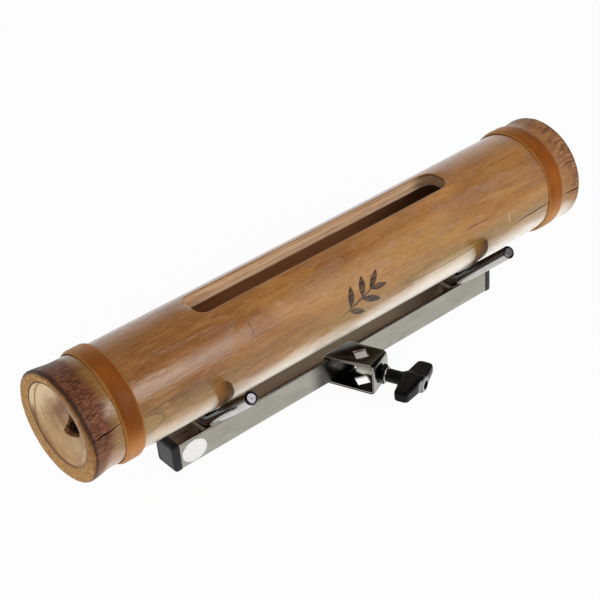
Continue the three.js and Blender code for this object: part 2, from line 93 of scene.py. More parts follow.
def cut_inset(x, y):
    """How far the leaning near cut moves a point of the skin along the culm."""
    share = (CULM_NEAR_X + DISH_DEPTH + FLARE_REACH - x) / FLARE_REACH
    return min(max(share, 0.0), 1.0) * CUT_LEAN * (CUT_BACK - y)


def rise(x):
    """The culm isn't quite straight: it rises a little towards its far end."""
    return 1.1 * smooth_step(40.0, 240.0, x)


# Shader graphs


class Graph:
    """The node tree of a material or a world, with short calls for the nodes that are used here."""

    def __init__(self, owner):
        owner.use_nodes = True
        self.owner = owner
        self.tree = owner.node_tree
        self.tree.nodes.clear()

    def put(self, socket, value):
        if isinstance(value, bpy.types.NodeSocket):
            self.tree.links.new(value, socket)
        elif isinstance(value, (tuple, list)) and len(value) == 3 and socket.type == "RGBA":
            socket.default_value = (*value, 1.0)
        else:
            socket.default_value = value

    def node(self, kind, inputs=None, **settings):
        made = self.tree.nodes.new("ShaderNode" + kind)
        for key, value in settings.items():
            setattr(made, key, value)
        for key, value in (inputs or {}).items():
            self.put(made.inputs[key], value)
        return made

    def math(self, operation, *values):
        return self.node("Math", dict(enumerate(values)), operation=operation).outputs[0]

    def add(self, first, *others):
        for other in others:
            first = self.math("ADD", first, other)
        return first

    def sub(self, a, b):
        return self.math("SUBTRACT", a, b)

    def times(self, first, *others):
        for other in others:
            first = self.math("MULTIPLY", first, other)
        return first

    def largest(self, first, *others):
        for other in others:
            first = self.math("MAXIMUM", first, other)
        return first

    def hypot(self, *sides):
        return self.math("SQRT", self.add(*[self.times(side, side) for side in sides]))

    def sway(self, value, reach):
        """A noise as a push to either side."""
        return self.times(self.sub(value, 0.5), reach)

    def span(self, value, low, high, *ends, smooth=True):
        """Maps low and high to 0 and 1, to 0 and the one end given, or to the two ends given."""
        to_low, to_high = (0.0, *(ends or (1.0,)))[-2:]
        sockets = {"Value": value, "From Min": low, "From Max": high, "To Min": to_low, "To Max": to_high}
        way = "SMOOTHSTEP" if smooth else "LINEAR"
        return self.node("MapRange", sockets, interpolation_type=way).outputs[0]

    def within(self, value, start, full, last, end):
        """One between full and last, falling to nothing at start and end."""
        return self.times(self.span(value, start, full), self.span(value, end, last))

    def mix(self, share, a, b, blend="MIX"):
        sockets = {0: share, 6: a, 7: b}
        return self.node("Mix", sockets, data_type="RGBA", blend_type=blend, clamp_factor=True).outputs[2]

    def layers(self, colour, *rows):
        """Lays (share, colour) rows over a colour; a third entry is the way they blend."""
        for share, over, *blend in rows:
            colour = self.mix(share, colour, over, *blend)
        return colour

    def vector(self, x, y, z):
        return self.node("CombineXYZ", {0: x, 1: y, 2: z}).outputs[0]

    def grain(self, place, scales, detail=3.0, rough=0.6, warp=0.0, seed=0.0):
        """Noise over a place, with one scale for all of its three parts or one for each."""
        if isinstance(scales, float):
            scales = (scales, scales, scales)
        parts = [self.times(part, scale) for part, scale in zip(place, scales)]
        if seed:
            parts[0] = self.add(parts[0], seed)
        made = self.node("TexNoise", {"Vector": self.vector(*parts), "Scale": 1.0, "Detail": detail,
                                      "Roughness": rough, "Distortion": warp})
        return made.outputs["Fac"]

    def ramp(self, value, *stops):
        made = self.node("ValToRGB", {"Fac": value})
        elements = made.color_ramp.elements
        while len(elements) < len(stops):
            elements.new(0.5)
        for element, (place, colour) in zip(elements, stops):
            element.position = place
            element.color = (*colour, 1.0)
        return made.outputs[0]

    def place(self):
        """Millimetres from the middle of the bar's top, as three sockets."""
        spot = self.node("TexCoord").outputs["Object"]
        parts = self.node("SeparateXYZ", {0: spot}).outputs
        return [self.math("MULTIPLY_ADD", parts[i], 1000.0, -SHIFT[i]) for i in range(3)]

    def facing(self):
        """The way the surface faces, as three sockets."""
        return self.node("SeparateXYZ", {0: self.node("NewGeometry").outputs["Normal"]}).outputs

    def bump(self, height, distance, strength=1.0):
        made = self.node("Bump", {"Height": height, "Distance": distance * MM, "Strength": strength})
        return made.outputs["Normal"]

    def surface(self, **sockets):
        shader = self.node("BsdfPrincipled")
        for key, value in sockets.items():
            self.put(shader.inputs[key.replace("_", " ")], value)
        self.node("OutputMaterial", {"Surface": shader.outputs[0]})
        return self.owner


def new_material(name):
    return Graph(bpy.data.materials.new(name))


# Bamboo


def along_culm(g):
    """Place on the culm: x, y and height over its axis, degrees from its top to the front, radius."""
    x, y, z = g.place()
    up = g.sub(z, CULM_Z)
    angle = g.times(g.math("ARCTAN2", g.times(y, -1.0), up), 180 / math.pi)
    return x, y, up, angle, g.hypot(y, up)


def spot(g, x, angle, oval, soft, wobble):
    """A soft oval mask on the culm: its middle as x and angle, and its two half widths."""
    middle_x, middle_angle, half_x, half_angle = oval
    far = g.hypot(g.times(g.sub(x, middle_x), 1 / half_x),
                  g.times(g.sub(angle, middle_angle), 1 / half_angle))
    return g.span(g.add(far, wobble), 1.0 + soft, 1.0 - soft)


def leaf(g, u, v, root, tip, width):
    """A leaf-shaped mask between two points, in millimetres on the unrolled surface."""
    du, dv = tip[0] - root[0], tip[1] - root[1]
    length = math.hypot(du, dv)
    cu, cv = du / length, dv / length
    su, sv = g.sub(u, root[0]), g.sub(v, root[1])
    along = g.times(g.add(g.times(su, cu), g.times(sv, cv)), 1 / length)
    across = g.math("ABSOLUTE", g.sub(g.times(sv, cu), g.times(su, cv)))
    belly = g.times(along, g.sub(1.0, along), 4.0 * width)
    return g.span(g.sub(across, belly), 0.35, -0.35)


# Leaves of the burnt mark: root, tip and half width
SPRIG_X, SPRIG_ANGLE = -3.0, 80.0
SPRIG = [
    ((-23.0, -9.0), (16.0, 4.0), 0.8),
    ((-14.0, -6.0), (2.0, -15.0), 2.6),
    ((-12.0, -5.0), (-8.0, 12.0), 2.9),
    ((-1.0, -1.5), (18.0, -10.5), 2.8),
    ((0.0, -1.0), (4.0, 15.0), 3.1),
    ((9.0, 2.0), (25.0, 0.0), 2.5),
    ((8.0, 1.5), (19.0, 14.0), 2.8),
]


class Skin:
    """What the layers of the bamboo's skin share: places, and grain drawn out along the culm."""

    def __init__(self, g):
        self.g = g
        self.x, self.y, self.up, self.angle, _ = along_culm(g)
        self.patch = self.grain(0.020, 0.075, 4.0, 0.60, 0.6)
        self.streak = self.grain(0.045, 0.17, 4.0, 0.62, 0.5, 11.0)
        self.fleck = self.grain(0.10, 0.48, 3.0, 0.65, 0.3, 5.0)
        self.fibre = self.grain(0.025, 0.75, 3.0, 0.65)
        self.hair = self.grain(0.07, 1.45, 2.0, 0.6, 0.0, 3.0)

    def grain(self, along, across, *settings):
        return self.g.grain((self.x, self.y, self.up), (along, across, across), *settings)

    def zone(self, along, around, share=1.0):
        """A soft patch of skin: where it starts and is full along x and by angle, and where it ends."""
        for value, ends in ((self.x, along), (self.angle, around)):
            mask = self.g.within if len(ends) == 4 else self.g.span
            share = self.g.times(share, mask(value, *ends))
        return share


def skin_ground(s):
    """The bamboo's own tones, along its length and from its top to its underside."""
    g, x, angle = s.g, s.x, s.angle
    cloud = s.grain(0.013, 0.045, 4.0, 0.6, 0.7, 2.0)
    tone = g.add(g.times(s.patch, 0.50), g.times(s.streak, 0.34), g.times(s.fleck, 0.16))
    colour = g.ramp(
        tone,
        (0.38, (0.265, 0.102, 0.032)),
        (0.46, (0.350, 0.138, 0.037)),
        (0.52, (0.420, 0.178, 0.047)),
        (0.58, (0.470, 0.218, 0.064)),
        (0.68, (0.560, 0.310, 0.120)),
    )
    shade = g.ramp(
        g.span(x, CULM_NEAR_X, 190.0, smooth=False),
        (0.0, (0.62, 0.53, 0.43)),
        (0.45, (0.88, 0.86, 0.80)),
        (1.0, (1.00, 1.04, 1.10)),
    )
    stripes = g.span(s.grain(0.010, 0.10, 3.0, 0.6, 0.3, 4.0), 0.42, 0.58, 0.25, 1.0)
    return g.layers(
        colour,
        # Browner towards the near end and paler towards the far end, with mauve and golden clouds
        (1.0, shade, TINT),
        (g.span(cloud, 0.50, 0.62, 0.56), (0.300, 0.155, 0.092)),
        (g.span(cloud, 0.47, 0.35, 0.42), (0.490, 0.240, 0.066)),
        # Tan towards the front, paler in the middle and at the top, mauve at the far front
        (g.times(g.span(angle, 40.0, 82.0, 0.20), g.span(x, -120.0, 60.0, 0.3, 1.0)), (0.460, 0.285, 0.095)),
        (s.zone((-110.0, -30.0, 80.0, 130.0), (34.0, 52.0, 66.0, 80.0), 0.40), (0.600, 0.365, 0.160)),
        (g.span(angle, 40.0, 20.0, 0.20), (0.620, 0.350, 0.150)),
        (s.zone((70.0, 110.0), (26.0, 44.0, 68.0, 80.0), 0.16), (0.440, 0.270, 0.190)),
        # Dimmer at the near front, yellow and olive above the underside
        (s.zone((-110.0, -175.0), (50.0, 62.0, 92.0, 104.0)), (0.74, 0.72, 0.74), TINT),
        (s.zone((-110.0, -60.0), (77.0, 84.0, 91.0, 99.0)), (0.87, 0.86, 0.64), TINT),
        (g.times(stripes, g.within(angle, 70.0, 88.0, 97.0, 110.0), 0.62), (0.270, 0.170, 0.036)),
        # Warmer along the top, darker on the near flank, brighter and warmer at the far end
        (s.zone((60.0, 0.0), (42.0, 22.0)), (0.95, 0.87, 0.70), TINT),
        (s.zone((80.0, 130.0), (42.0, 26.0)), (1.03, 0.95, 0.77), TINT),
        (s.zone((-205.0, -190.0, -60.0, -30.0), (71.0, 78.0, 89.0, 95.0)), (0.84, 0.84, 0.84), TINT),
        (s.zone((62.0, 80.0, 105.0, 122.0), (8.0, 16.0, 40.0, 50.0)), (1.20, 1.20, 1.20), TINT),
        (s.zone((24.0, 40.0), (46.0, 56.0, 94.0, 102.0)), (1.0, 0.97, 0.82), TINT),
    )


def skin_fibres(s, colour):
    """Streaks, flecks, dashes, fibres and hairlines, then the pale underside: partly straw-coloured skin,
    partly a painted reflection of the white floor.
    """
    g, x, angle = s.g, s.x, s.angle
    dash = s.grain(0.17, 0.95, 2.0, 0.6, 0.2, 13.0)
    hairline = s.grain(0.014, 0.80, 2.0, 0.6, 0.0, 7.0)
    turn = g.add(angle, g.sway(s.patch, 15.0), g.sway(s.streak, 12.0),
                 g.times(g.within(x, 30.0, 72.0, 112.0, 122.0), 8.0))
    # The pale underside, kept off the shaded bottom: straw-coloured skin and a painted reflection of the
    # white floor
    underside_and_reflection = g.times(g.span(turn, 98.0, 120.0, smooth=False), g.span(angle, 172.0, 148.0),
                    g.span(x, -238.0, -196.0, 0.40, 0.95))
    straw_and_floor_reflection = g.mix(g.span(x, -230.0, 20.0), (0.730, 0.600, 0.425), (0.940, 0.850, 0.690))
    straw_and_floor_reflection = g.mix(g.span(x, -204.0, -222.0), straw_and_floor_reflection, (0.560, 0.350, 0.200))
    return g.layers(
        colour,
        (g.times(g.span(s.streak, 0.53, 0.66), g.span(x, -90.0, 0.0, 0.10, 0.38)), (0.330, 0.190, 0.135)),
        (g.span(s.streak, 0.45, 0.33, 0.26), (0.520, 0.235, 0.060)),
        (g.span(s.fleck, 0.55, 0.69, 0.42), (0.205, 0.086, 0.038)),
        (g.span(s.fleck, 0.45, 0.32, 0.26), (0.580, 0.345, 0.150)),
        (g.span(dash, 0.57, 0.70, 0.20), (0.215, 0.088, 0.040)),
        (g.span(dash, 0.43, 0.30, 0.12), (0.620, 0.370, 0.170)),
        (g.times(g.span(s.fibre, 0.52, 0.68), g.span(x, -40.0, -150.0, 0.16, 0.40)), (0.135, 0.054, 0.020)),
        (g.span(s.fibre, 0.47, 0.32, 0.14), (0.600, 0.360, 0.165)),
        (g.span(hairline, 0.65, 0.70, 0.45), (0.085, 0.034, 0.012)),
        (underside_and_reflection, straw_and_floor_reflection),
    )


def skin_marks(s, colour):
    """Brown painted reflections of the cradle rods where they lie, two stains, a scratch and two pale marks.
    """
    g, x, angle = s.g, s.x, s.angle
    rod_reflection = 0.0
    # Painted reflections of the rods in the glossy skin, brown beside each rod
    for place in (-134.0, 125.5):
        beside = g.sub(x, g.add(place, g.span(angle, 84.0, 118.0, -3.8, 2.2)))
        drop = g.largest(g.times(g.sub(98.0, angle), SKIN_PER_DEGREE), 0.0)
        painted_reflection = g.times(g.span(g.hypot(beside, drop), 7.7, 6.7), g.span(angle, 142.0, 128.0))
        brown = g.mix(g.span(beside, -4.0, 7.0), (0.285, 0.130, 0.042), (0.085, 0.040, 0.014))
        colour = g.mix(g.times(painted_reflection, 0.94), colour, brown)
        rod_reflection = g.add(rod_reflection, painted_reflection)
    slight, wobble = g.sway(s.streak, 0.4), g.sway(s.streak, 0.9)
    for oval, soft, share, inside, line_soft, depth, line in (
        ((-202.0, 92.0, 15.0, 9.5), 0.10, 0.50, (0.330, 0.210, 0.055), 0.12, 3.0, (0.155, 0.080, 0.024)),
        ((83.0, 92.0, 42.0, 4.8), 0.12, 0.40, (0.340, 0.235, 0.075), 0.22, 4.0, (0.185, 0.115, 0.024)),
    ):
        stain = spot(g, x, angle, oval, soft, slight)
        ring = spot(g, x, angle, oval, line_soft, slight)
        colour = g.layers(colour, (g.times(stain, share), inside),
                          (g.times(ring, g.sub(1.0, ring), depth), line))
    scratch = g.math("ABSOLUTE", g.sub(x, g.add(-101.0, g.times(g.sub(angle, 54.0), -0.03))))
    scratch = g.times(g.span(scratch, 0.75, 0.25), g.within(angle, 47.0, 49.0, 59.0, 62.0), 0.8)
    colour = g.layers(
        colour,
        (scratch, (0.085, 0.040, 0.018)),
        (g.times(spot(g, x, angle, (-72.0, 46.0, 2.6, 2.0), 0.6, wobble), 0.5), (0.50, 0.34, 0.22)),
        (g.times(spot(g, x, angle, (156.0, 83.0, 1.1, 5.0), 0.6, wobble), 0.5), (0.62, 0.44, 0.27)),
    )
    return colour, rod_reflection


def skin_nodes(s, colour):
    """Scorched, sanded nodes outside the bands, golden next to the near band, with burnt rims."""
    g, x, angle = s.g, s.x, s.angle
    near = g.sub(x, CULM_NEAR_X)
    fade = g.span(near, DISH_DEPTH, DISH_DEPTH + FLARE_REACH, CUT_LEAN, 0.0, smooth=False)
    near = g.sub(near, g.times(g.sub(CUT_BACK, s.y), fade))
    far = g.sub(CULM_FAR_X, x)
    ragged = g.add(g.sway(s.hair, 6.0), g.sway(s.streak, 12.0))
    paler = g.span(angle, 78.0, 125.0, 11.0)
    near_node = g.span(g.add(near, ragged, paler), 30.0, 17.0)
    far_node = g.span(g.add(far, g.times(ragged, 0.7), paler), 24.0, 8.0)
    node = g.largest(near_node, g.times(far_node, 0.84))
    burnt = g.ramp(
        s.hair,
        (0.34, (0.050, 0.014, 0.009)),
        (0.47, (0.118, 0.037, 0.019)),
        (0.56, (0.180, 0.062, 0.031)),
        (0.68, (0.310, 0.125, 0.066)),
    )
    sanded = g.ramp(
        g.add(g.times(s.grain(0.11, 0.42, 4.0, 0.7, 0.5, 9.0), 0.8), g.times(s.hair, 0.2)),
        (0.40, (0.130, 0.052, 0.034)),
        (0.48, (0.260, 0.112, 0.052)),
        (0.56, (0.410, 0.195, 0.072)),
        (0.64, (0.500, 0.270, 0.105)),
    )
    burnt = g.layers(burnt, (g.span(x, 0.0, 10.0), sanded),
                     (g.span(angle, 84.0, 122.0, 0.48), (0.350, 0.175, 0.092)))
    rim = g.span(g.add(g.math("MINIMUM", near, far), g.sway(s.streak, 6.0)), 5.0, 1.8)
    colour = g.layers(
        colour,
        (g.times(g.span(near, 34.0, 30.0), g.span(angle, 96.0, 74.0), 0.60), (0.270, 0.140, 0.036)),
        (g.times(node, 0.94), burnt),
        (g.times(rim, g.span(x, 0.0, 10.0, 0.88, 0.30)), (0.030, 0.014, 0.011)),
    )
    return colour, node


def bamboo_skin():
    g = new_material("bamboo_skin")
    s = Skin(g)
    colour, rod_reflection = skin_marks(s, skin_fibres(s, skin_ground(s)))
    colour, node = skin_nodes(s, colour)
    # A burnt sprig of leaves in the middle of the front
    u = g.sub(s.x, SPRIG_X)
    v = g.times(g.sub(SPRIG_ANGLE, s.angle), SKIN_PER_DEGREE)
    sprig = g.largest(*[leaf(g, u, v, root, tip, width) for root, tip, width in SPRIG])
    sprig = g.times(sprig, g.span(s.fleck, 0.80, 0.45, 0.35, 0.94))
    colour = g.mix(sprig, colour, (0.018, 0.012, 0.013))
    # Relief: fibres everywhere, deeper in the sanded nodes
    relief = g.sub(g.add(g.times(s.fibre, 0.16), g.times(s.hair, node, 1.2)), g.times(sprig, 0.35))
    rough = g.add(g.span(s.streak, 0.3, 0.7, 0.30, 0.42), g.times(node, 0.20))
    brushed = g.add(s.fibre, g.times(s.fleck, 0.8))
    matt = g.add(node, g.times(sprig, 0.5))
    # Less coat in the nodes and the sprig; almost no coat and less specular where the rods' reflections are
    # painted
    coat = g.times(g.span(matt, 0.0, 1.0, 1.0, 0.20), g.span(rod_reflection, 0.0, 1.0, 1.0, 0.04))
    return g.surface(Base_Color=colour, Roughness=rough, Normal=g.bump(relief, 0.22, 0.6),
                     Coat_Weight=coat, Coat_Roughness=0.17, Coat_IOR=1.48,
                     Coat_Normal=g.bump(brushed, 0.26, 0.7),
                     Specular_IOR_Level=g.span(rod_reflection, 0.0, 1.0, 0.12, 0.02))


def end_grain():
    g = new_material("bamboo_end_grain")
    x, y, up, angle, radius = along_culm(g)
    speck = g.grain((x, radius, angle), (0.3, 0.50, 0.62), 4.0, 0.72)
    patch = g.grain((x, y, up), 0.10, 3.0, 0.55)
    colour = g.ramp(
        speck,
        (0.34, (0.115, 0.046, 0.011)),
        (0.45, (0.315, 0.152, 0.040)),
        (0.56, (0.530, 0.300, 0.092)),
        (0.70, (0.720, 0.480, 0.200)),
    )
    # The burnt outer edge is broader at the top, and a dark line runs round the opening
    edge = g.add(radius, g.sway(patch, 2.5), g.sway(speck, 3.4), g.span(up, -8.0, 34.0, 1.1))
    out = g.hypot(g.sub(y, OPENING_Y), g.sub(up, OPENING_Z))
    colour = g.layers(
        colour,
        (g.span(patch, 0.4, 0.7, 0.40), (0.420, 0.195, 0.050)),
        (1.0, (1.20, 1.18, 1.15), TINT),
        (g.times(g.span(y, 4.0, -18.0), g.span(up, -20.0, 0.0)), (0.72, 0.58, 0.48), TINT),
        (g.span(edge, 40.5, 43.5, 0.45), (0.150, 0.070, 0.024)),
        (g.span(edge, 42.2, 43.7, 0.92), (0.040, 0.018, 0.011)),
        (g.times(g.span(out, 34.4, 33.2), g.span(y, -24.0, 0.0, 0.25, 0.92)), (0.115, 0.048, 0.015)),
    )
    return g.surface(Base_Color=colour, Roughness=g.span(speck, 0.3, 0.7, 0.62, 0.48),
                     Normal=g.bump(speck, 0.35, 0.8), Specular_IOR_Level=0.25)


def septum_wood():
    g = new_material("bamboo_septum")
    x, y, up = along_culm(g)[:3]
    # Rays run out from the apex of the dish
    side, rise_up = g.sub(y, APEX_Y), g.sub(up, APEX_Z)
    turn = g.times(g.math("ARCTAN2", side, rise_up), 180 / math.pi)
    out = g.hypot(side, rise_up)
    ray = g.grain((turn, out, 0.0), (0.11, 0.03, 1.0), 4.0, 0.6, 0.2)
    fine = g.grain((turn, out, 7.0), (0.45, 0.05, 1.0))
    crack = g.grain((turn, out, 3.0), (0.20, 0.02, 1.0))
    soft = g.grain((x, y, up), (1.0, 0.06, 0.06), 4.0, 0.55, 0.6)
    colour = g.ramp(
        soft,
        (0.30, (0.480, 0.280, 0.122)),
        (0.48, (0.610, 0.390, 0.188)),
        (0.66, (0.740, 0.520, 0.285)),
    )
    # Palest on the upper back wall, a painted highlight where the lamps light the bowl, smudged brown round
    # the apex, and a painted shadow towards the front
    pale = g.add(g.times(y, 0.75), g.times(up, 0.66))
    front = g.times(g.span(y, 8.0, -10.0), g.span(up, -8.0, 6.0), 0.62)
    # Darker in a band from the upper front to the middle
    from_y, from_up = g.add(y, 10.0), g.sub(up, 25.0)
    along = g.sub(g.times(from_y, 0.737), g.times(from_up, 0.676))
    across = g.add(g.times(from_y, 0.676), g.times(from_up, 0.737), 1.0, g.sway(ray, 14.0))
    dark_band = g.times(g.within(along, -14.0, 0.0, 10.0, 44.0), g.span(g.math("ABSOLUTE", across), 9.0, 0.5))
    # The opening's wall is pale above, a painted highlight, and brown below, with a thin line at its foot
    edge = g.hypot(g.sub(y, OPENING_Y), g.sub(up, OPENING_Z))
    wall = g.span(edge, 31.65, 31.90)
    seam = g.times(g.within(edge, 30.4, 31.0, 31.5, 31.8), g.span(y, -2.0, 8.0, 0.20, 0.80))
    colour = g.layers(
        colour,
        (g.span(up, 8.0, -26.0, 0.40), (0.600, 0.370, 0.175)),
        (g.span(ray, 0.44, 0.68, 0.46), (0.420, 0.225, 0.090)),
        (g.span(fine, 0.45, 0.72, 0.34), (0.390, 0.200, 0.080)),
        (g.span(pale, 10.0, 28.0, 0.75), (0.930, 0.745, 0.475)),
        (front, (0.300, 0.145, 0.058)),
        (g.span(g.add(out, g.sway(soft, 24.0)), 19.0, 3.0, 0.66), (0.300, 0.148, 0.056)),
        (g.span(crack, 0.63, 0.68, 0.45), (0.260, 0.115, 0.045)),
        (dark_band, (0.56, 0.38, 0.24), TINT),
        (g.span(up, -10.0, -26.0), (0.94, 0.85, 0.75), TINT),
        # Painted shade in the bowl beside the lower back wall
        (g.times(g.span(edge, 26.0, 31.0), g.span(up, 6.0, -8.0), g.span(y, 2.0, 16.0)),
         (0.74, 0.68, 0.64), TINT),
        (g.times(wall, g.span(up, 4.0, 14.0)), (0.950, 0.800, 0.540)),
        (g.times(wall, g.span(up, 8.0, -2.0, 0.80)), (0.200, 0.090, 0.030)),
        (seam, (0.300, 0.145, 0.055)),
    )
    return g.surface(Base_Color=colour, Roughness=0.62, Normal=g.bump(g.add(ray, soft), 0.5, 0.7),
                     Coat_Weight=0.12, Coat_Roughness=0.35)


def cut_wood():
    g = new_material("bamboo_cut")
    x, y, up, _, radius = along_culm(g)
    band = g.grain((x, y, up), (0.006, 0.25, 0.62), 5.0, 0.7, 0.2)
    fine = g.grain((x, y, up), (0.05, 1.2, 2.2))
    colour = g.ramp(
        band,
        (0.34, (0.500, 0.235, 0.115)),
        (0.43, (0.850, 0.500, 0.275)),
        (0.52, (0.950, 0.660, 0.400)),
        (0.66, (0.970, 0.800, 0.580)),
    )
    outer = g.span(g.add(radius, g.sway(band, 2.0)), 40.2, 42.2, 0.26)
    colour = g.layers(colour, (g.span(fine, 0.51, 0.61, 0.46), (0.330, 0.135, 0.060)),
                      (g.add(outer, g.span(x, 100.0, 114.0, 0.74)), (0.130, 0.056, 0.020)))
    return g.surface(Base_Color=colour, Roughness=0.58, Normal=g.bump(band, 0.35, 0.7),
                     Coat_Weight=0.2, Coat_Roughness=0.3)


def chamber_wood():
    g = new_material("bamboo_inside")
    x, y, up = along_culm(g)[:3]
    band = g.grain((x, y, up), (0.006, 0.16, 0.16), 4.0, 0.65)
    colour = g.ramp(band, (0.3, (0.510, 0.238, 0.098)), (0.7, (0.680, 0.390, 0.195)))
    # Darker towards the far end, and nearly black towards the near end wall: painted shade deep inside the
    # closed culm
    colour = g.layers(colour, (g.span(x, 40.0, 115.0), (0.50, 0.48, 0.45), TINT),
                      (g.span(x, -150.0, -215.0, 0.92), (0.040, 0.014, 0.006)))
    return g.surface(Base_Color=colour, Roughness=0.75, Normal=g.bump(band, 0.4, 0.6))


def broken_wood(name, dark, light):
    g = new_material(name)
    x, y, up = along_culm(g)[:3]
    torn = g.grain((x, y, up), (0.5, 0.35, 0.35), 4.0, 0.7)
    colour = g.ramp(torn, (0.35, dark), (0.65, light))
    # Painted shade: darker behind the torn edge of the near end wall
    behind = g.times(g.within(x, -239.5, -237.0, -222.0, -216.0), 0.92)
    colour = g.mix(behind, colour, (0.012, 0.005, 0.002))
    return g.surface(Base_Color=colour, Roughness=0.8, Normal=g.bump(torn, 0.6, 0.8))


# Rubber, metals, plastics and paper


def amber_rubber():
    g = new_material("amber_rubber")
    x, y, up, angle, _ = along_culm(g)
    soft = g.grain((x, y, up), (0.08, 0.035, 0.035), 3.0, 0.5)
    dust = g.grain((x, y, up), 0.9)
    colour = g.ramp(
        soft,
        (0.34, (0.230, 0.062, 0.0062)),
        (0.52, (0.285, 0.080, 0.0085)),
        (0.70, (0.350, 0.108, 0.0130)),
    )
    # Golden at the back of the top and on the underside, painted light shining through the rubber, and along
    # the thin edges
    glow = g.largest(g.span(angle, 12.0, -28.0, 0.70), g.span(angle, 82.0, 114.0, 0.70))
    places = [middle + hand * BAND_WIDTH / 2 for middle in BAND_MIDDLES for hand in (-1, 1)]
    edges = g.largest(*[g.span(g.math("ABSOLUTE", g.sub(x, place)), 1.5, 0.5) for place in places])
    colour = g.layers(
        colour,
        (g.span(x, -200.0, 200.0, 0.30, 0.0), (0.100, 0.030, 0.0045)),
        (g.span(dust, 0.55, 0.75, 0.15), (0.300, 0.125, 0.030)),
        (glow, (0.590, 0.270, 0.075)),
        (g.times(edges, 0.55), (0.440, 0.205, 0.048)),
    )
    return g.surface(Base_Color=colour, Roughness=g.span(dust, 0.3, 0.7, 0.36, 0.50),
                     Normal=g.bump(dust, 0.05, 0.5), Subsurface_Weight=0.45,
                     Subsurface_Radius=(0.006, 0.0022, 0.0006), Subsurface_Scale=0.5,
                     Specular_IOR_Level=0.15)


def satin_nickel():
    g = new_material("satin_nickel")
    x, y, z = g.place()
    brush = g.grain((x, y, z), (0.04, 2.6, 2.6))
    smear = g.grain((x, y, z), (0.03, 0.12, 0.12), 4.0, 0.55, 0.8)
    colour = g.mix(g.span(smear, 0.35, 0.70), (0.410, 0.396, 0.345), (0.350, 0.336, 0.288))
    # A painted reflection of the culm, brown on top; a painted dark reflection along the top's front edge;
    # painted shadow on the front where the bracket covers it
    bracket_shadow = g.times(g.span(y, -11.0, -11.4), g.within(x, -38.0, -22.0, 6.0, 14.0), 0.80)
    colour = g.layers(
        colour,
        (g.span(brush, 0.35, 0.75, 0.30), (0.290, 0.275, 0.235)),
        (g.span(z, -0.6, -0.2, 0.85), (0.260, 0.180, 0.115)),
        (g.span(g.sub(z, y), 9.75, 10.15, 0.70), (0.110, 0.095, 0.080)),
        (bracket_shadow, (0.030, 0.029, 0.026)),
    )
    return g.surface(Base_Color=colour, Metallic=1.0, Roughness=g.span(smear, 0.3, 0.7, 0.20, 0.30),
                     Normal=g.bump(brush, 0.02, 0.35))


def bright_metal(name, dark, light, rough_low, rough_high, shade=None, metal=1.0):
    """A smooth metal; shade(g, place) gives a mask where a painted dark reflection darkens it."""
    g = new_material(name)
    place = g.place()
    smear = g.grain(place, 0.10, 5.0, 0.6, 0.6)
    fine = g.grain(place, 1.4)
    colour = g.mix(g.span(smear, 0.35, 0.68), dark, light)
    if shade is not None:
        colour = g.mix(shade(g, place), colour, tuple(v * 0.08 for v in dark))
    rough = g.add(g.span(smear, 0.3, 0.7, rough_low, rough_high), g.times(fine, 0.03))
    return g.surface(Base_Color=colour, Metallic=metal, Roughness=rough, Normal=g.bump(fine, 0.012, 0.3))


def rod_dark_reflection(g, place):
    """Where a rod faces the culm, which gets a painted dark reflection."""
    _, y, z = place
    facing = g.facing()
    rise_up = g.sub(CULM_Z, z)
    towards = g.sub(g.times(facing[2], rise_up), g.times(facing[1], y))
    return g.span(g.math("DIVIDE", towards, g.hypot(y, rise_up)), -0.20, 0.15, 0.96)


def bracket_dark_reflection(g, place):
    """Away from the bracket's front, where a painted dark reflection darkens the plating."""
    x, y, _ = place
    out = g.sub(g.times(g.sub(x, CLAMP_X), CLAMP_SIN), g.times(y, CLAMP_COS))
    return g.span(out, 45.7, 44.0, 0.88)


def turned_metal():
    """The lathe-turned ends of the rods, ringed round their middles."""
    g = new_material("turned_end")
    x, y, z = g.place()
    end_z = ROD_Z + (ROD_REACH - ROD_CORNER[-1]) * math.tan(ROD_SLOPE)
    side = g.math("ABSOLUTE", g.sub(g.math("ABSOLUTE", x), ROD_X))
    out = g.hypot(side, g.sub(g.math("ABSOLUTE", y), ROD_REACH), g.sub(z, end_z))
    rings = g.math("SINE", g.times(out, 7.0))
    # Light and only half metallic: a painted highlight on the end faces
    colour = g.mix(g.span(rings, -1.0, 1.0), (0.50, 0.48, 0.53), (0.70, 0.68, 0.72))
    # The far rod's ends are darker
    colour = g.mix(g.span(x, -10.0, 10.0, 0.80), colour, (0.085, 0.080, 0.088))
    return g.surface(Base_Color=colour, Metallic=0.45, Roughness=g.span(rings, -1.0, 1.0, 0.34, 0.46))


def moulded_plastic(name, dark, light, grain, rough):
    g = new_material(name)
    place = g.place()
    soft = g.grain(place, 0.12, 4.0)
    pebble = g.grain(place, grain)
    colour = g.mix(g.span(soft, 0.35, 0.7), dark, light)
    colour = g.mix(g.span(pebble, 0.55, 0.78, 0.35), colour, tuple(v * 1.7 for v in light))
    return g.surface(Base_Color=colour, Roughness=g.span(pebble, 0.3, 0.7, rough, rough + 0.12),
                     Normal=g.bump(pebble, 0.06, 0.6), Specular_IOR_Level=0.32)


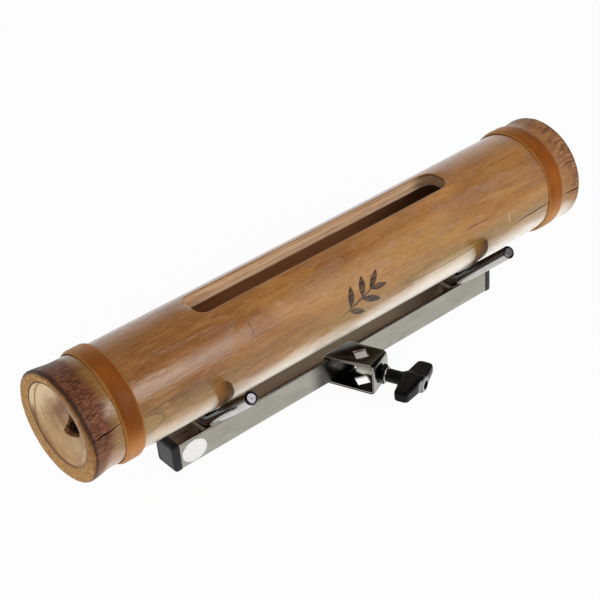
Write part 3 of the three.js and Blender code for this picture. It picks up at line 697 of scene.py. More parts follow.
def knob_plastic():
    g = new_material("knob_plastic")
    x, y, z = g.place()
    soft = g.grain((x, y, z), 0.12, 4.0)
    pebble = g.grain((x, y, z), 1.6)
    colour = g.mix(g.span(soft, 0.35, 0.7), (0.0030, 0.0030, 0.0032), (0.0060, 0.0058, 0.0058))
    # Painted reflection: paler where the knob faces out along the screw, most of all round its end
    facing = g.facing()
    out = g.sub(g.times(facing[0], CLAMP_SIN), g.times(facing[1], CLAMP_COS))
    across = g.add(g.times(g.sub(x, CLAMP_X), CLAMP_COS), g.times(y, CLAMP_SIN))
    reach = g.hypot(across, g.add(z, BAR / 2))
    painted_reflection = g.times(g.span(out, 0.55, 0.97), g.span(reach, 12.0, 3.6, 0.04, 1.0))
    colour = g.mix(painted_reflection, colour, (0.480, 0.485, 0.490))
    return g.surface(Base_Color=colour, Roughness=g.span(pebble, 0.3, 0.7, 0.30, 0.42),
                     Normal=g.bump(pebble, 0.05, 0.5), Specular_IOR_Level=0.12)


def label_paper():
    g = new_material("label_paper")
    soft = g.grain(g.place(), 0.4, 3.0, 0.5)
    colour = g.mix(g.span(soft, 0.3, 0.7), (0.88, 0.88, 0.87), (0.84, 0.84, 0.83))
    return g.surface(Base_Color=colour, Roughness=g.span(soft, 0.3, 0.7, 0.30, 0.40),
                     Normal=g.bump(soft, 0.02, 0.4))


SKIN = bamboo_skin()
END = end_grain()
DISH = septum_wood()
CUT = cut_wood()
INSIDE = chamber_wood()
BROKEN = broken_wood("bamboo_broken", (0.130, 0.040, 0.010), (0.440, 0.205, 0.068))
CRACK = broken_wood("bamboo_crack", (0.012, 0.006, 0.004), (0.060, 0.028, 0.014))
AMBER = amber_rubber()
NICKEL = satin_nickel()
CHROME = bright_metal("rod_chrome", (0.46, 0.45, 0.43), (0.56, 0.55, 0.53), 0.05, 0.11, rod_dark_reflection)
DARK_NICKEL = bright_metal("dark_nickel", (0.38, 0.36, 0.33), (0.46, 0.44, 0.40), 0.13, 0.22, bracket_dark_reflection)
TURNED_END = turned_metal()
# The dark end rings: a darker copy of the chrome, a painted dark reflection
RING = bright_metal("rod_ring", (0.075, 0.068, 0.076), (0.115, 0.105, 0.115), 0.24, 0.36)
BLACKENED = bright_metal("blackened", (0.020, 0.019, 0.018), (0.034, 0.032, 0.030), 0.24, 0.36)
BRACKET_INSIDE = bright_metal("bracket_inside", (0.022, 0.021, 0.020), (0.040, 0.038, 0.034), 0.30, 0.42)
WELD = bright_metal("weld", (0.095, 0.085, 0.074), (0.150, 0.138, 0.120), 0.30, 0.45)
BARE_EDGE = bright_metal("bare_edge", (0.47, 0.43, 0.40), (0.57, 0.52, 0.49), 0.18, 0.30)
ZINC = bright_metal("zinc", (0.54, 0.53, 0.47), (0.64, 0.63, 0.58), 0.30, 0.45)
# A lighter, less metallic copy of the zinc for the screw: painted light where it lies in the bracket's shade
BRIGHT_ZINC = bright_metal("bright_zinc", (0.82, 0.79, 0.70), (0.90, 0.87, 0.79), 0.38, 0.50, metal=0.45)
CAP_SIDE = moulded_plastic("cap_side", (0.006, 0.007, 0.008), (0.012, 0.013, 0.015), 1.3, 0.36)
CAP_FACE = moulded_plastic("cap_face", (0.042, 0.044, 0.048), (0.061, 0.064, 0.068), 2.2, 0.42)
KNOB = knob_plastic()
SPACER = moulded_plastic("spacer_rubber", (0.014, 0.014, 0.014), (0.026, 0.026, 0.026), 1.0, 0.70)
PAPER = label_paper()


# Mesh pieces


def piece(name, points, faces, materials, kinds=None, sharp=35.0):
    """A mesh from points in millimetres, measured from the middle of the bar's top."""
    mesh = bpy.data.meshes.new(name)
    mesh.from_pydata([tuple((Vector(p) + SHIFT) * MM) for p in points], [], faces)
    for material in materials:
        mesh.materials.append(material)
    if kinds is not None:
        mesh.polygons.foreach_set("material_index", kinds)
    made = bpy.data.objects.new(name, mesh)
    bpy.context.collection.objects.link(made)
    tidy_normals(made, sharp)
    return made


def tidy_normals(made, sharp):
    work = bmesh.new()
    work.from_mesh(made.data)
    bmesh.ops.remove_doubles(work, verts=work.verts, dist=1e-7)
    bmesh.ops.recalc_face_normals(work, faces=work.faces)
    if work.calc_volume(signed=True) < 0:
        bmesh.ops.reverse_faces(work, faces=work.faces)
    work.to_mesh(made.data)
    work.free()
    made.data.polygons.foreach_set("use_smooth", [True] * len(made.data.polygons))
    made.data.set_sharp_from_angle(angle=math.radians(sharp))
    made.data.update()


def strip(low, high, steps=None):
    """Faces between two rows of point numbers; a row of one number is a pole."""
    count = max(len(low), len(high))
    faces = []
    for k in range(steps or count):
        n = (k + 1) % count
        if len(low) == 1:
            faces.append((low[0], high[k], high[n]))
        elif len(high) == 1:
            faces.append((low[k], low[n], high[0]))
        else:
            faces.append((low[k], low[n], high[n], high[k]))
    return faces


def tube(name, rings, materials, kinds=None, sharp=35.0, closed=False):
    """A skin over rings of points. Its ends are capped unless they are poles, or joined if closed.
    kinds gives each strip's material, and a cap has that of the strip beside it."""
    points = [point for ring in rings for point in ring]
    ends = np.cumsum([0] + [len(ring) for ring in rings])
    rows = [range(int(a), int(b)) for a, b in zip(ends, ends[1:])]
    kinds = kinds or [0] * len(rows)
    faces, face_kinds = [], []
    for i, (low, high) in enumerate(zip(rows, rows[1:] + rows[:1] if closed else rows[1:])):
        made = strip(low, high)
        faces += made
        face_kinds += [kinds[i]] * len(made)
    for row, kind in ((rows[0], kinds[0]), (rows[-1], kinds[-1])):
        if not closed and len(row) > 1:
            faces.append(tuple(row))
            face_kinds.append(kind)
    return piece(name, points, faces, materials, face_kinds, sharp)


def circle(sides, radius=1.0):
    """Points round a middle, or just the middle if there is no radius."""
    if radius == 0.0:
        return [(0.0, 0.0)]
    turns = [2 * math.pi * k / sides for k in range(sides)]
    return [(radius * math.cos(a), radius * math.sin(a)) for a in turns]


def arc(middle_a, middle_b, radius, start, end, steps):
    turns = np.linspace(start, end, steps)
    return [(middle_a + radius * math.cos(t), middle_b + radius * math.sin(t)) for t in turns]


def lathe(name, profile, sides, put, materials, closed=False):
    """A body of revolution from (radius, height) pairs that start and end on the axis or close."""
    rings = [[put(a, b, height) for a, b in circle(sides, radius)] for radius, height in profile]
    return tube(name, rings, materials, closed=closed)


def prism(name, outline, low, high, put, materials):
    """A closed prism from an outline of pairs, between two depths."""
    return tube(name, [[put(a, b, depth) for a, b in outline] for depth in (low, high)], materials)


def apply_modifiers(made):
    graph = bpy.context.evaluated_depsgraph_get()
    fresh = bpy.data.meshes.new_from_object(made.evaluated_get(graph), depsgraph=graph)
    made.modifiers.clear()
    old, made.data = made.data, fresh
    bpy.data.meshes.remove(old)


def cut(made, tools, operation="DIFFERENCE"):
    """Cuts tools out of a piece, or joins them to it, and removes them."""
    for tool in tools:
        change = made.modifiers.new("cut", "BOOLEAN")
        change.object = tool
        change.operation = operation
        change.solver = "EXACT"
        change.material_mode = "TRANSFER"
        apply_modifiers(made)
        bpy.data.objects.remove(tool)


def finish(made, body, slot, *nodes):
    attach(made, body)
    if nodes:
        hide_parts(*nodes)


def dress(node, material):
    """Gives its material to a solid that is shown as it is."""
    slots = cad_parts[node].data.materials
    slots.clear()
    slots.append(material)


# The culm

ARC_STEPS, LID_STEPS = 232, 6
RING_STEPS = ARC_STEPS + LID_STEPS
EDGE_EASE, EDGE_DROP = 0.9, 0.5
LID_HALF = SLOT_HALF - SLOT_CORNER
LIP_TOP = 0.35
CHAMBER_FILLET = 7.0
CULM_SHARP = 32.0
ON_SKIN, ON_END, ON_DISH, ON_INSIDE, ON_CUT = range(5)


def slot_half(x):
    """Half the slot's width at x, and the width of the spare strip beyond its ends."""
    inside = min(x - SLOT_START, SLOT_END - x)
    if inside <= 0:
        return LID_HALF
    step = max(SLOT_CORNER - inside, 0.0)
    return LID_HALF + math.sqrt(SLOT_CORNER ** 2 - step ** 2)


def ring_angles(radius, half):
    """Angles from the top towards the front: round from the slot's front edge to its back edge,
    then across the strip that lies over the slot."""
    start = math.asin(min(half / radius, 0.99))
    end = 2 * math.pi - start
    ease = EDGE_EASE / radius
    around = np.linspace(start + ease, end - ease, ARC_STEPS - 1)
    lid = np.linspace(end, 2 * math.pi + start, LID_STEPS + 1)[1:-1]
    return [start, *around, end, *lid]


def on_ring(x, radius, angle):
    return (x, -radius * math.sin(angle), CULM_Z + rise(x) + radius * math.cos(angle))


def rough_rim(x, radius, angle):
    """Small unevenness of the sawn and scorched ends, outside the bands, and fibres in the nodes."""
    inset = min(x - CULM_NEAR_X, CULM_FAR_X - x)
    c, s = math.cos(angle), math.sin(angle)
    wide = noise.noise(Vector((1.7 * c, 1.7 * s, x * 0.02)))
    small = noise.noise(Vector((7.0 * c, 7.0 * s, x * 0.05 + 9.0)))
    comb = noise.noise(Vector((26.0 * c, 26.0 * s, x * 0.09 + 4.0)))
    share = smooth_step(21.0, 8.0, inset)
    return radius + share * (0.35 * wide + 0.18 * small) + smooth_step(20.0, 12.0, inset) * 0.16 * comb


def slot_stations():
    """Places along the slot: close together in its corners and about 8.5 mm apart between them."""
    corner = [SLOT_CORNER * (1 - math.cos(t)) for t in np.linspace(0, math.pi / 2, 9)]
    start = [SLOT_START + d for d in corner]
    end = [SLOT_END - d for d in reversed(corner)]
    middle = list(np.linspace(start[-1], end[0], 28))[1:-1]
    return start + middle + end


def lip_depth(angle):
    """Depth of the end wall at the edge of the dish: deepest at the upper back."""
    return 1.0 + 3.0 * smooth_step(0.20, 1.0, math.cos(angle + math.radians(45.0)))


def off_axis(x, radius, angle, share):
    """A point round a centre that moves from the dish's apex to the middle of its opening."""
    _, y, z = on_ring(x, radius, angle)
    y += APEX_Y + (OPENING_Y - APEX_Y) * share
    z += APEX_Z + (OPENING_Z - APEX_Z) * share
    return (x, y, z)


def dish_point(end_x, towards, share, angle):
    """A point of the dished end wall, from its apex at share 0 to the opening's edge at share 1."""
    c, s = math.cos(angle), math.sin(angle)
    radius = OPENING_RADIUS * share - 0.4 * share ** 8
    depth = DISH_DEPTH - 1.0 + (lip_depth(angle) - DISH_DEPTH + 1.0) * share ** 1.25
    ribs = noise.noise(Vector((4.0 * c, 4.0 * s, radius * 0.03)))
    fine = noise.noise(Vector((14.0 * c, 14.0 * s, radius * 0.04)))
    knot = math.exp(-((radius - 4.0) / 2.2) ** 2) * noise.noise(Vector((2.2 * c, 2.2 * s, 5.0)))
    depth += (0.5 * ribs + 0.2 * fine) * math.sin(math.pi * share) + 0.9 * knot
    return off_axis(end_x + towards * depth, radius, angle, share)


def wall_point(end_x, towards, share, radius, angle):
    """A point of the wall round the dish, from its foot at share 1 to its top at share 0."""
    depth = LIP_TOP + share * (lip_depth(angle) - LIP_TOP)
    return off_axis(end_x + towards * depth, radius, angle, 1.0)


def rim_profile(end_x, towards):
    """Round the outer edge of an end and along its swelling: (x, radius, material)."""
    rows = []
    flat = culm_radius(end_x + towards * RIM_ROUND) - RIM_ROUND
    for t in np.linspace(0.0, math.pi / 2, 9):
        x = end_x + towards * RIM_ROUND * (1 - math.cos(t))
        rows.append((x, flat + RIM_ROUND * math.sin(t), ON_END if t < 1.3 else ON_SKIN))
    for inset in np.linspace(RIM_ROUND, FLARE_REACH, 9)[1:]:
        x = end_x + towards * inset
        rows.append((x, culm_radius(x), ON_SKIN))
    return rows


def culm_mesh():
    points, faces, kinds = [], [], []
    stations = slot_stations()

    def add_row(spots):
        first = len(points)
        points.extend(spots)
        return range(first, len(points))

    def ring(x, radius, uneven=False, sag=None):
        """A row round the culm; it sags at the slot's edges, or at its end right across."""
        spots = []
        for k, angle in enumerate(ring_angles(radius, slot_half(x))):
            out = rough_rim(x, radius, angle) if uneven else radius
            if sag and (k in (0, ARC_STEPS) or (sag == "end" and k > ARC_STEPS)):
                out -= EDGE_DROP
            spots.append(on_ring(x, out, angle))
        return add_row(spots)

    def opening_ring(make):
        return add_row([make(angle) for angle in ring_angles(OPENING_RADIUS, LID_HALF)])

    def sheet(rows, slot_rows):
        """Faces between rows of (point numbers, material), left out over the slot."""
        for (low, _), (high, kind) in zip(rows, rows[1:]):
            over_slot = low in slot_rows and high in slot_rows
            made = strip(low, high, ARC_STEPS if over_slot else None)
            faces.extend(made)
            kinds.extend([kind] * len(made))

    def end_rows(end_x, towards):
        rows = [(add_row([dish_point(end_x, towards, 0.0, 0.0)]), ON_DISH)]
        for share in np.linspace(0.0, 1.0, 18)[1:]:
            rows.append((opening_ring(lambda a: dish_point(end_x, towards, share, a)), ON_DISH))
        # The wall up to the opening's edge, which is eased
        for share, out in ((0.6, 0.05), (0.3, 0.15), (0.0, 0.45)):
            radius = OPENING_RADIUS + out
            rows.append((opening_ring(lambda a: wall_point(end_x, towards, share, radius, a)), ON_DISH))
        rim = rim_profile(end_x, towards)
        edge = [Vector(points[k]) for k in rows[-1][0]]
        flat = ring(rim[0][0], rim[0][1], True)
        crest = [Vector(points[k]) for k in flat]
        for share in (0.15, 0.4, 0.7):
            rows.append((add_row([tuple(a.lerp(b, share)) for a, b in zip(edge, crest)]), ON_END))
        rows.append((flat, ON_END))
        return rows + [(ring(x, radius, True), kind) for x, radius, kind in rim[1:]]

    def skin_rows(places):
        return [(ring(x, culm_radius(x), True), ON_SKIN) for x in places]

    outer = end_rows(CULM_NEAR_X, 1)
    outer += skin_rows(np.linspace(CULM_NEAR_X + FLARE_REACH, SLOT_START - EDGE_EASE, 12)[1:])
    slot_outer = []
    for x in stations:
        sag = "end" if x in (stations[0], stations[-1]) else "side"
        slot_outer.append(ring(x, culm_radius(x), False, sag))
    outer += [(row, ON_SKIN) for row in slot_outer]
    outer += skin_rows(np.linspace(SLOT_END + EDGE_EASE, CULM_FAR_X - FLARE_REACH, 12)[:-1])
    # Walking inwards, a strip takes the kind of the row that is nearer to the dish
    far_rows = end_rows(CULM_FAR_X, -1)
    far_kinds = [kind for _, kind in far_rows[1:]] + [ON_SKIN]
    outer += [(row, kind) for (row, _), kind in zip(far_rows, far_kinds)][::-1]
    sheet(outer, slot_outer)
    for k, (x, y, z) in enumerate(points):
        points[k] = (x + cut_inset(x, y), y, z)

    # The chamber between the two end walls
    low_x = CULM_NEAR_X + CUT_LEAN * CUT_BACK + DISH_DEPTH + SEPTUM
    high_x = CULM_FAR_X - DISH_DEPTH - SEPTUM

    def wall_rows(wall_x, towards):
        flat = taper(wall_x) - WALL - CHAMBER_FILLET
        rows = [add_row([(wall_x, 0.0, CULM_Z + rise(wall_x))])]
        rows += [ring(wall_x, share * flat) for share in (0.35, 0.7, 1.0)]
        for t in np.linspace(0.0, math.pi / 2, 6)[1:]:
            x = wall_x + towards * CHAMBER_FILLET * (1 - math.cos(t))
            rows.append(ring(x, flat + CHAMBER_FILLET * math.sin(t)))
        return rows

    def chamber_rows(places):
        return [ring(x, taper(x) - WALL) for x in places]

    slot_inner = chamber_rows(stations)
    inner = [
        *wall_rows(low_x, 1),
        *chamber_rows(np.linspace(low_x + CHAMBER_FILLET, SLOT_START - EDGE_EASE, 8)[1:]),
        *slot_inner,
        *chamber_rows(np.linspace(SLOT_END + EDGE_EASE, high_x - CHAMBER_FILLET, 8)[:-1]),
        *reversed(wall_rows(high_x, -1)),
    ]
    sheet([(row, ON_INSIDE) for row in inner], slot_inner)

    # The slot's walls, along both sides and across both ends
    for i in range(len(stations) - 1):
        for k in (0, ARC_STEPS):
            faces.append((slot_outer[i][k], slot_outer[i + 1][k], slot_inner[i + 1][k], slot_inner[i][k]))
    across = [*range(ARC_STEPS, RING_STEPS), 0]
    for i in (0, -1):
        for a, b in zip(across, across[1:]):
            faces.append((slot_outer[i][a], slot_outer[i][b], slot_inner[i][b], slot_inner[i][a]))
    kinds += [ON_CUT] * (len(faces) - len(kinds))
    return piece("culm", points, faces, [SKIN, END, DISH, INSIDE, CUT], kinds, CULM_SHARP)


# The ragged hole in the near end wall, as y and z from the culm's axis, and how it narrows inwards
HOLE_Y, HOLE_Z = -14.0, 5.0
HOLE = [
    (-15.0, 19.5), (-12.2, 14.8), (-10.6, 10.6), (-7.4, 8.2), (-6.3, 4.4), (-3.6, 1.8),
    (-1.4, -1.8), (0.6, -4.9), (-0.8, -6.6), (-4.0, -6.7), (-7.0, -5.7), (-10.2, -4.3),
    (-12.6, -3.4), (-17.2, -0.6), (-22.0, 2.4), (-27.0, 6.0), (-26.8, 11.0), (-20.4, 17.4),
]
HOLE_DEPTHS = [(-6.0, 1.0), (8.0, 1.0), (11.0, 0.99), (13.5, 0.95), (17.0, 0.90), (40.0, 0.90)]


def break_tool():
    rings = []
    for row, (depth, grow) in enumerate(HOLE_DEPTHS):
        ring = []
        for k, (y, z) in enumerate(HOLE):
            jag = 1.0 + 0.07 * noise.noise(Vector((k * 3.1, row * 2.3, 0.5)))
            ring.append((CULM_NEAR_X + depth, HOLE_Y + (y - HOLE_Y) * grow * jag,
                         CULM_Z + HOLE_Z + (z - HOLE_Z) * grow * jag))
        rings.append(ring)
    return tube("break_tool", rings, [BROKEN])


# Cracks in the skin: their x and angle at both ends, how far they wander, their width and depth
CRACKS = [
    (-246.5, -216.0, 77.5, 75.0, 1.6, 1.0, 3.0),
    (-204.0, -172.0, 79.2, 77.8, 0.7, 0.60, 1.5),
    (218.0, 246.0, 93.4, 90.2, 0.5, 1.0, 2.4),
    (221.0, 237.0, 61.5, 58.5, 1.2, 0.5, 1.3),
    (158.0, 212.0, 94.9, 91.6, 0.4, 1.05, 2.0),
]
CRACK_STEPS = 9


def crack_tool(seed, start, end, first, last, wander, width, depth):
    """A thin wedge along a wandering line on the culm's skin."""
    rings = []
    for i in range(CRACK_STEPS):
        t = i / (CRACK_STEPS - 1)
        sway = wander * noise.noise(Vector((t * 4.0, seed, 0.3)))
        x = start + (end - start) * t
        angle = math.radians(first + (last - first) * t + sway)
        share = math.sin(math.pi * (i + 0.35) / (CRACK_STEPS - 0.3))
        radius = culm_radius(x)
        spread = 1.6 * max(width * share / 2, 0.03) / radius
        rings.append([
            on_ring(x, radius + 1.5, angle - spread),
            on_ring(x, radius + 1.5, angle + spread),
            on_ring(x, radius - max(depth * share, 0.25), angle),
        ])
    return tube(f"crack_{seed}", rings, [CRACK])


culm = culm_mesh()
cut(culm, [break_tool()] + [crack_tool(seed, *crack) for seed, crack in enumerate(CRACKS, 1)])
culm.data.set_sharp_from_angle(angle=math.radians(CULM_SHARP))
finish(culm, "frame", "bamboo", "bamboo_culm")


# Rubber bands, thin at their edges, which curl a little off the culm


def band(name, middle, node):
    sides, ease, bulge = 160, 0.25, 0.2
    low, high = middle - BAND_WIDTH / 2, middle + BAND_WIDTH / 2

    def turn(x, lift, angle):
        wave = 0.25 * math.sin(3 * angle + middle) + 0.18 * math.sin(7 * angle)
        share = (x - low) / BAND_WIDTH
        curl = 0.15 * (1 - smooth_step(0.0, 0.17, share)) + 0.10 * smooth_step(0.9, 1.0, share)
        loose = 0.45 + 0.55 * math.cos(angle + 0.3) ** 2
        thin = 1 - 0.70 * (1 - smooth_step(0.0, 0.20, share)) - 0.45 * smooth_step(0.86, 1.0, share)
        radius = culm_radius(x) + GAP + lift * thin + curl * loose
        return on_ring(x + wave * (1 - share), radius, angle)

    inner = [(low + BAND_WIDTH * t, 0.0) for t in np.linspace(1.0, 0.0, 12)]
    outer = [(low + BAND_WIDTH * t, BAND_THICK) for t in np.linspace(0.0, 1.0, 12)]
    outer[0], outer[-1] = (low + ease, BAND_THICK - ease), (high - ease, BAND_THICK - ease)
    foot, brow = BAND_THICK * 0.25, BAND_THICK * 0.7
    profile = [*inner, (low - bulge, foot), (low - bulge, brow),
               *outer, (high + bulge, brow), (high + bulge, foot)]
    rings = [[turn(x, lift, 2 * math.pi * k / sides) for x, lift in profile] for k in range(sides)]
    made = tube(name, rings, [AMBER], sharp=60.0, closed=True)
    finish(made, "frame", "amber_rubber", node)


band("band_near", BAND_MIDDLES[0], "near_rubber_band")
band("band_far", BAND_MIDDLES[1], "far_rubber_band")


# The bar keeps its own solid; its end caps get their panelled faces

dress("mount_bar", NICKEL)


def squircle(half, corner):
    """Points round a square with rounded corners, as pairs."""
    inset = half - corner
    pairs = []
    for quarter, (a, b) in enumerate(((1, 1), (-1, 1), (-1, -1), (1, -1))):
        start = quarter * math.pi / 2
        pairs += arc(a * inset, b * inset, corner, start, start + math.pi / 2, 6)
    return pairs


def end_cap(name, side, node):
    half = BAR / 2
    plug = half - BAR_WALL - GAP
    # From the floor of the plug's hollow round to the face: distance out from the bar's end,
    # half width, corner radius, and the material of the strip before
    rows = [
        (-1.0, plug - 2.0, 0.8, 0), (-16.0, plug - 2.0, 0.8, 0), (-16.0, plug, 0.9, 0),
        (0.3, plug, 0.9, 0), (0.3, half + 0.1, 1.9, 0), (0.6, half + 0.38, 2.1, 0),
        (4.6, half + 0.38, 2.1, 0), (5.5, half - 0.10, 2.3, 0), (6.35, half - 1.55, 2.6, 0),
        (6.5, half - 2.0, 2.6, 0), (6.5, half - 2.6, 2.6, 0), (6.32, half - 2.85, 2.6, 0),
        (6.28, half - 3.2, 2.6, 1), (6.45, half - 6.5, 1.8, 1),
    ]
    rings = []
    for out, wide, corner, _ in rows:
        x = side * (BAR_LENGTH / 2 + out)
        rings.append([(x, y, z - half) for y, z in squircle(wide, corner)])
    made = tube(name, rings, [CAP_SIDE, CAP_FACE], [row[3] for row in rows[1:]], 40.0)
    finish(made, "frame", "cap_plastic", node)


end_cap("cap_near", -1, "near_end_cap")
end_cap("cap_far", 1, "far_end_cap")


def label():
    """A blank oval sticker on the bar's front."""
    middle_z = -BAR / 2 - LABEL_DROP
    rings = []
    for grow, out in ((1.0, 0.02), (1.0, 0.10), (0.985, 0.16), (0.5, 0.17)):
        rings.append([(LABEL_X + LABEL_HALF_X * a, -BAR / 2 - out, middle_z + LABEL_HALF_Z * b)
                      for a, b in circle(64, grow)])
    made = tube("blank_label", rings, [PAPER], sharp=50.0)
    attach(made, "frame")


label()


# Cradle rods, swept round with turned ends, and the welds that hold them to the bar

# A rod's end, as radius and distance past the arm's end: a dark ring, a bright disc, a centre mark. The
# ring's darkness is a painted dark reflection and the disc's brightness a painted highlight
ROD_TIP = [
    (ROD_RADIUS, -1.0), (ROD_RADIUS - 0.3, -0.45), (ROD_RADIUS - 0.9, -0.12), (3.5, -0.1),
    (3.3, 0.0), (2.9, 0.0), (2.7, -0.2), (2.4, -0.2), (2.2, 0.0), (1.35, 0.0), (0.9, -0.35), (0.0, -0.7),
]
ON_ROD, ON_DISC, ON_RING = range(3)


def rod_line(side):
    """Middle line of one arm from the rod's middle outwards: (distance out, height, direction)."""
    corner = ROD_CORNER[side]
    setback = ROD_BEND * math.tan(ROD_SLOPE / 2)
    start = corner - setback
    rows = [(0.0, 0.0, 0.0), (start, 0.0, 0.0)]
    for t in np.linspace(0, ROD_SLOPE, 11)[1:]:
        rows.append((start + ROD_BEND * math.sin(t), ROD_BEND - ROD_BEND * math.cos(t), t))
    length = (ROD_REACH - corner) / math.cos(ROD_SLOPE)
    for share in (0.25, 0.5, 0.75, 1.0):
        along = setback + (length - setback) * share
        rows.append((corner + along * math.cos(ROD_SLOPE), along * math.sin(ROD_SLOPE), ROD_SLOPE))
    return rows


def cradle_rod(name, side, node):
    *arm, (end_y, end_z, slope) = rod_line(side)
    part = [(y, z, t, ROD_RADIUS) for y, z, t in arm]
    for radius, past in ROD_TIP:
        part.append((end_y + past * math.cos(slope), end_z + past * math.sin(slope), slope, radius))
    line = [(-y, z, -t, radius) for y, z, t, radius in reversed(part)] + part[1:]
    rings, kinds = [], []
    for y, z, t, radius in line:
        c, s = math.cos(t), math.sin(t)
        rings.append([(side * ROD_X + a, y - b * s, ROD_Z + z + b * c) for a, b in circle(40, radius)])
    for (*_, first), (*_, second) in zip(line, line[1:]):
        small, large = sorted((first, second))
        kinds.append(ON_ROD if small == ROD_RADIUS else ON_RING if large > 3.4 else ON_DISC)
    made = tube(name, rings, [CHROME, TURNED_END, RING], kinds, 28.0)
    finish(made, "frame", "rod_chrome", node)


def weld(name, x, hand):
    """A lumpy bead in the corner between a rod and the bar's top."""
    steps, size = 30, 1.75
    reach, out, height = 8.6, 3.35, 0.95
    rings = []
    for i in range(steps + 1):
        t = i / steps
        swell = math.sin(math.pi * min(max(t, 0.02), 0.98)) ** 0.4
        lumps = 1 + 0.12 * math.sin(i * 1.9) + 0.10 * noise.noise(Vector((i * 0.8, x, hand)))
        rings.append([(x + hand * (out + 1.1 * a), (2 * t - 1) * reach, height + 0.62 * b)
                      for a, b in circle(14, size * swell * lumps)])
    made = tube(name, rings, [WELD], sharp=70.0)
    finish(made, "frame", "rod_chrome")


for end, side in (("near", -1), ("far", 1)):
    cradle_rod(f"rod_{end}", side, f"{end}_cradle_rod")
    weld(f"weld_{end}_outer", side * ROD_X, -1)
    weld(f"weld_{end}_inner", side * ROD_X, 1)
    for part, material in (("spacer", SPACER), ("washer", ZINC), ("screw", ZINC)):
        dress(f"{end}_culm_{part}", material)


# The clamp, drawn with u across the screw and s out along it

POST_S, FRONT_S = 28.6, 45.8
SHEET, PLATE_PAST_BAR, STRIP_HALF = 2.2, 2.5, 12.0
PLATE_EDGE_Y = -BAR / 2 + 3.8
POST_HOLE = 9.8
BORE_RADIUS = 4.3
NUT_HEIGHT, WASHER_HEIGHT = 4.0, 1.2
NUT_S = FRONT_S + GAP
WASHER_S = NUT_S + NUT_HEIGHT + GAP
STEM_S = WASHER_S + WASHER_HEIGHT + GAP
STEM_HEIGHT, HUB_HEIGHT = 12.0, 20.0
STUD_SEAT = STEM_S + 24.0
ON_PLATE, ON_BARE_EDGE, ON_PLATE_INSIDE = range(3)


def on_screw(u, z, s):
    """A place in the clamp: across the screw, up from its axis, and out along it."""
    return (CLAMP_X + u * CLAMP_COS + s * CLAMP_SIN, u * CLAMP_SIN - s * CLAMP_COS, z - BAR / 2)


def from_clamp(spot):
    """Distances across and out along the screw, y and height of a point of a mesh."""
    x, y, z = Vector(spot) / MM - SHIFT
    across = (x - CLAMP_X) * CLAMP_COS + y * CLAMP_SIN
    out = (x - CLAMP_X) * CLAMP_SIN - y * CLAMP_COS
    return across, out, y, z


def bracket():
    half = BAR / 2 + PLATE_PAST_BAR
    inner, inside = half - SHEET, FRONT_S - SHEET
    bend, outer_bend = 2.4, 4.6
    quarter = math.pi / 2
    outline = [
        (0.0, half),
        *arc(FRONT_S - outer_bend, half - outer_bend, outer_bend, quarter, 0, 9),
        *arc(FRONT_S - outer_bend, outer_bend - half, outer_bend, 0, -quarter, 9),
        (0.0, -half),
        (0.0, -inner),
        *arc(inside - bend, bend - inner, bend, -quarter, 0, 7),
        *arc(inside - bend, inner - bend, bend, 0, quarter, 7),
        (0.0, inner),
    ]
    made = prism("bracket", outline, -STRIP_HALF, STRIP_HALF, lambda s, z, u: on_screw(u, z, s),
                 [DARK_NICKEL, BARE_EDGE])
    # Cut off along the bar, with holes for the post and the screw
    reach = 80.0
    block = [(-reach, PLATE_EDGE_Y), (reach, PLATE_EDGE_Y), (reach, PLATE_EDGE_Y + reach),
             (-reach, PLATE_EDGE_Y + reach)]
    behind = prism("behind", block, -60.0, 40.0, lambda x, y, z: (x, y, z), [BARE_EDGE])
    diagonal = POST_HOLE / math.sqrt(2)
    square = [(diagonal, POST_S), (0.0, POST_S + diagonal), (-diagonal, POST_S), (0.0, POST_S - diagonal)]
    post = prism("post", square, -40.0, 40.0, lambda u, s, z: on_screw(u, z, s), [BARE_EDGE])
    bore = prism("bore", circle(40, BORE_RADIUS), inside - 3.0, FRONT_S + 3.0, on_screw, [BARE_EDGE])
    cut(made, [behind, post, bore])
    ease = made.modifiers.new("ease", "BEVEL")
    ease.width = 0.48 * MM
    ease.segments = 2
    ease.limit_method = "ANGLE"
    ease.angle_limit = math.radians(50)
    ease.material = ON_BARE_EDGE
    apply_modifiers(made)
    # The top plate is a little wider where it meets the bar
    for vertex in made.data.vertices:
        across, _, y, z = from_clamp(vertex.co)
        if z > -2.0 and y > PLATE_EDGE_Y - 1.2 and across < -10.0:
            vertex.co.x -= 2.6 * MM
    tidy_normals(made, 40.0)
    # The inside of the bend gets a darker, rougher copy of the plating: painted shade and dark reflection
    made.data.materials.append(BRACKET_INSIDE)
    for face in made.data.polygons:
        across, out, _, z = from_clamp(face.center)
        within = abs(z + BAR / 2) < inner + 0.05 and out < inside + 0.05 and abs(across) < 11.5
        if face.material_index == ON_PLATE and within:
            face.material_index = ON_PLATE_INSIDE
    finish(made, "frame", "black_nickel", "clamp_bracket")


def rear_bead():
    """A thin bare bead along the top plate's rear edge."""
    steps = 24
    start, length, y, z = -18.2, 28.6, -7.55, 1.55
    rings = []
    for i in range(steps + 1):
        t = i / steps
        swell = math.sin(math.pi * min(max(t, 0.03), 0.97)) ** 0.25
        bead = swell * (1 + 0.08 * math.sin(i * 2.3))
        rings.append([(start + length * t, y + 0.75 * a, z + 1.10 * b) for a, b in circle(10, bead)])
    made = tube("bracket_bead", rings, [ZINC], sharp=70.0)
    finish(made, "frame", "black_nickel")


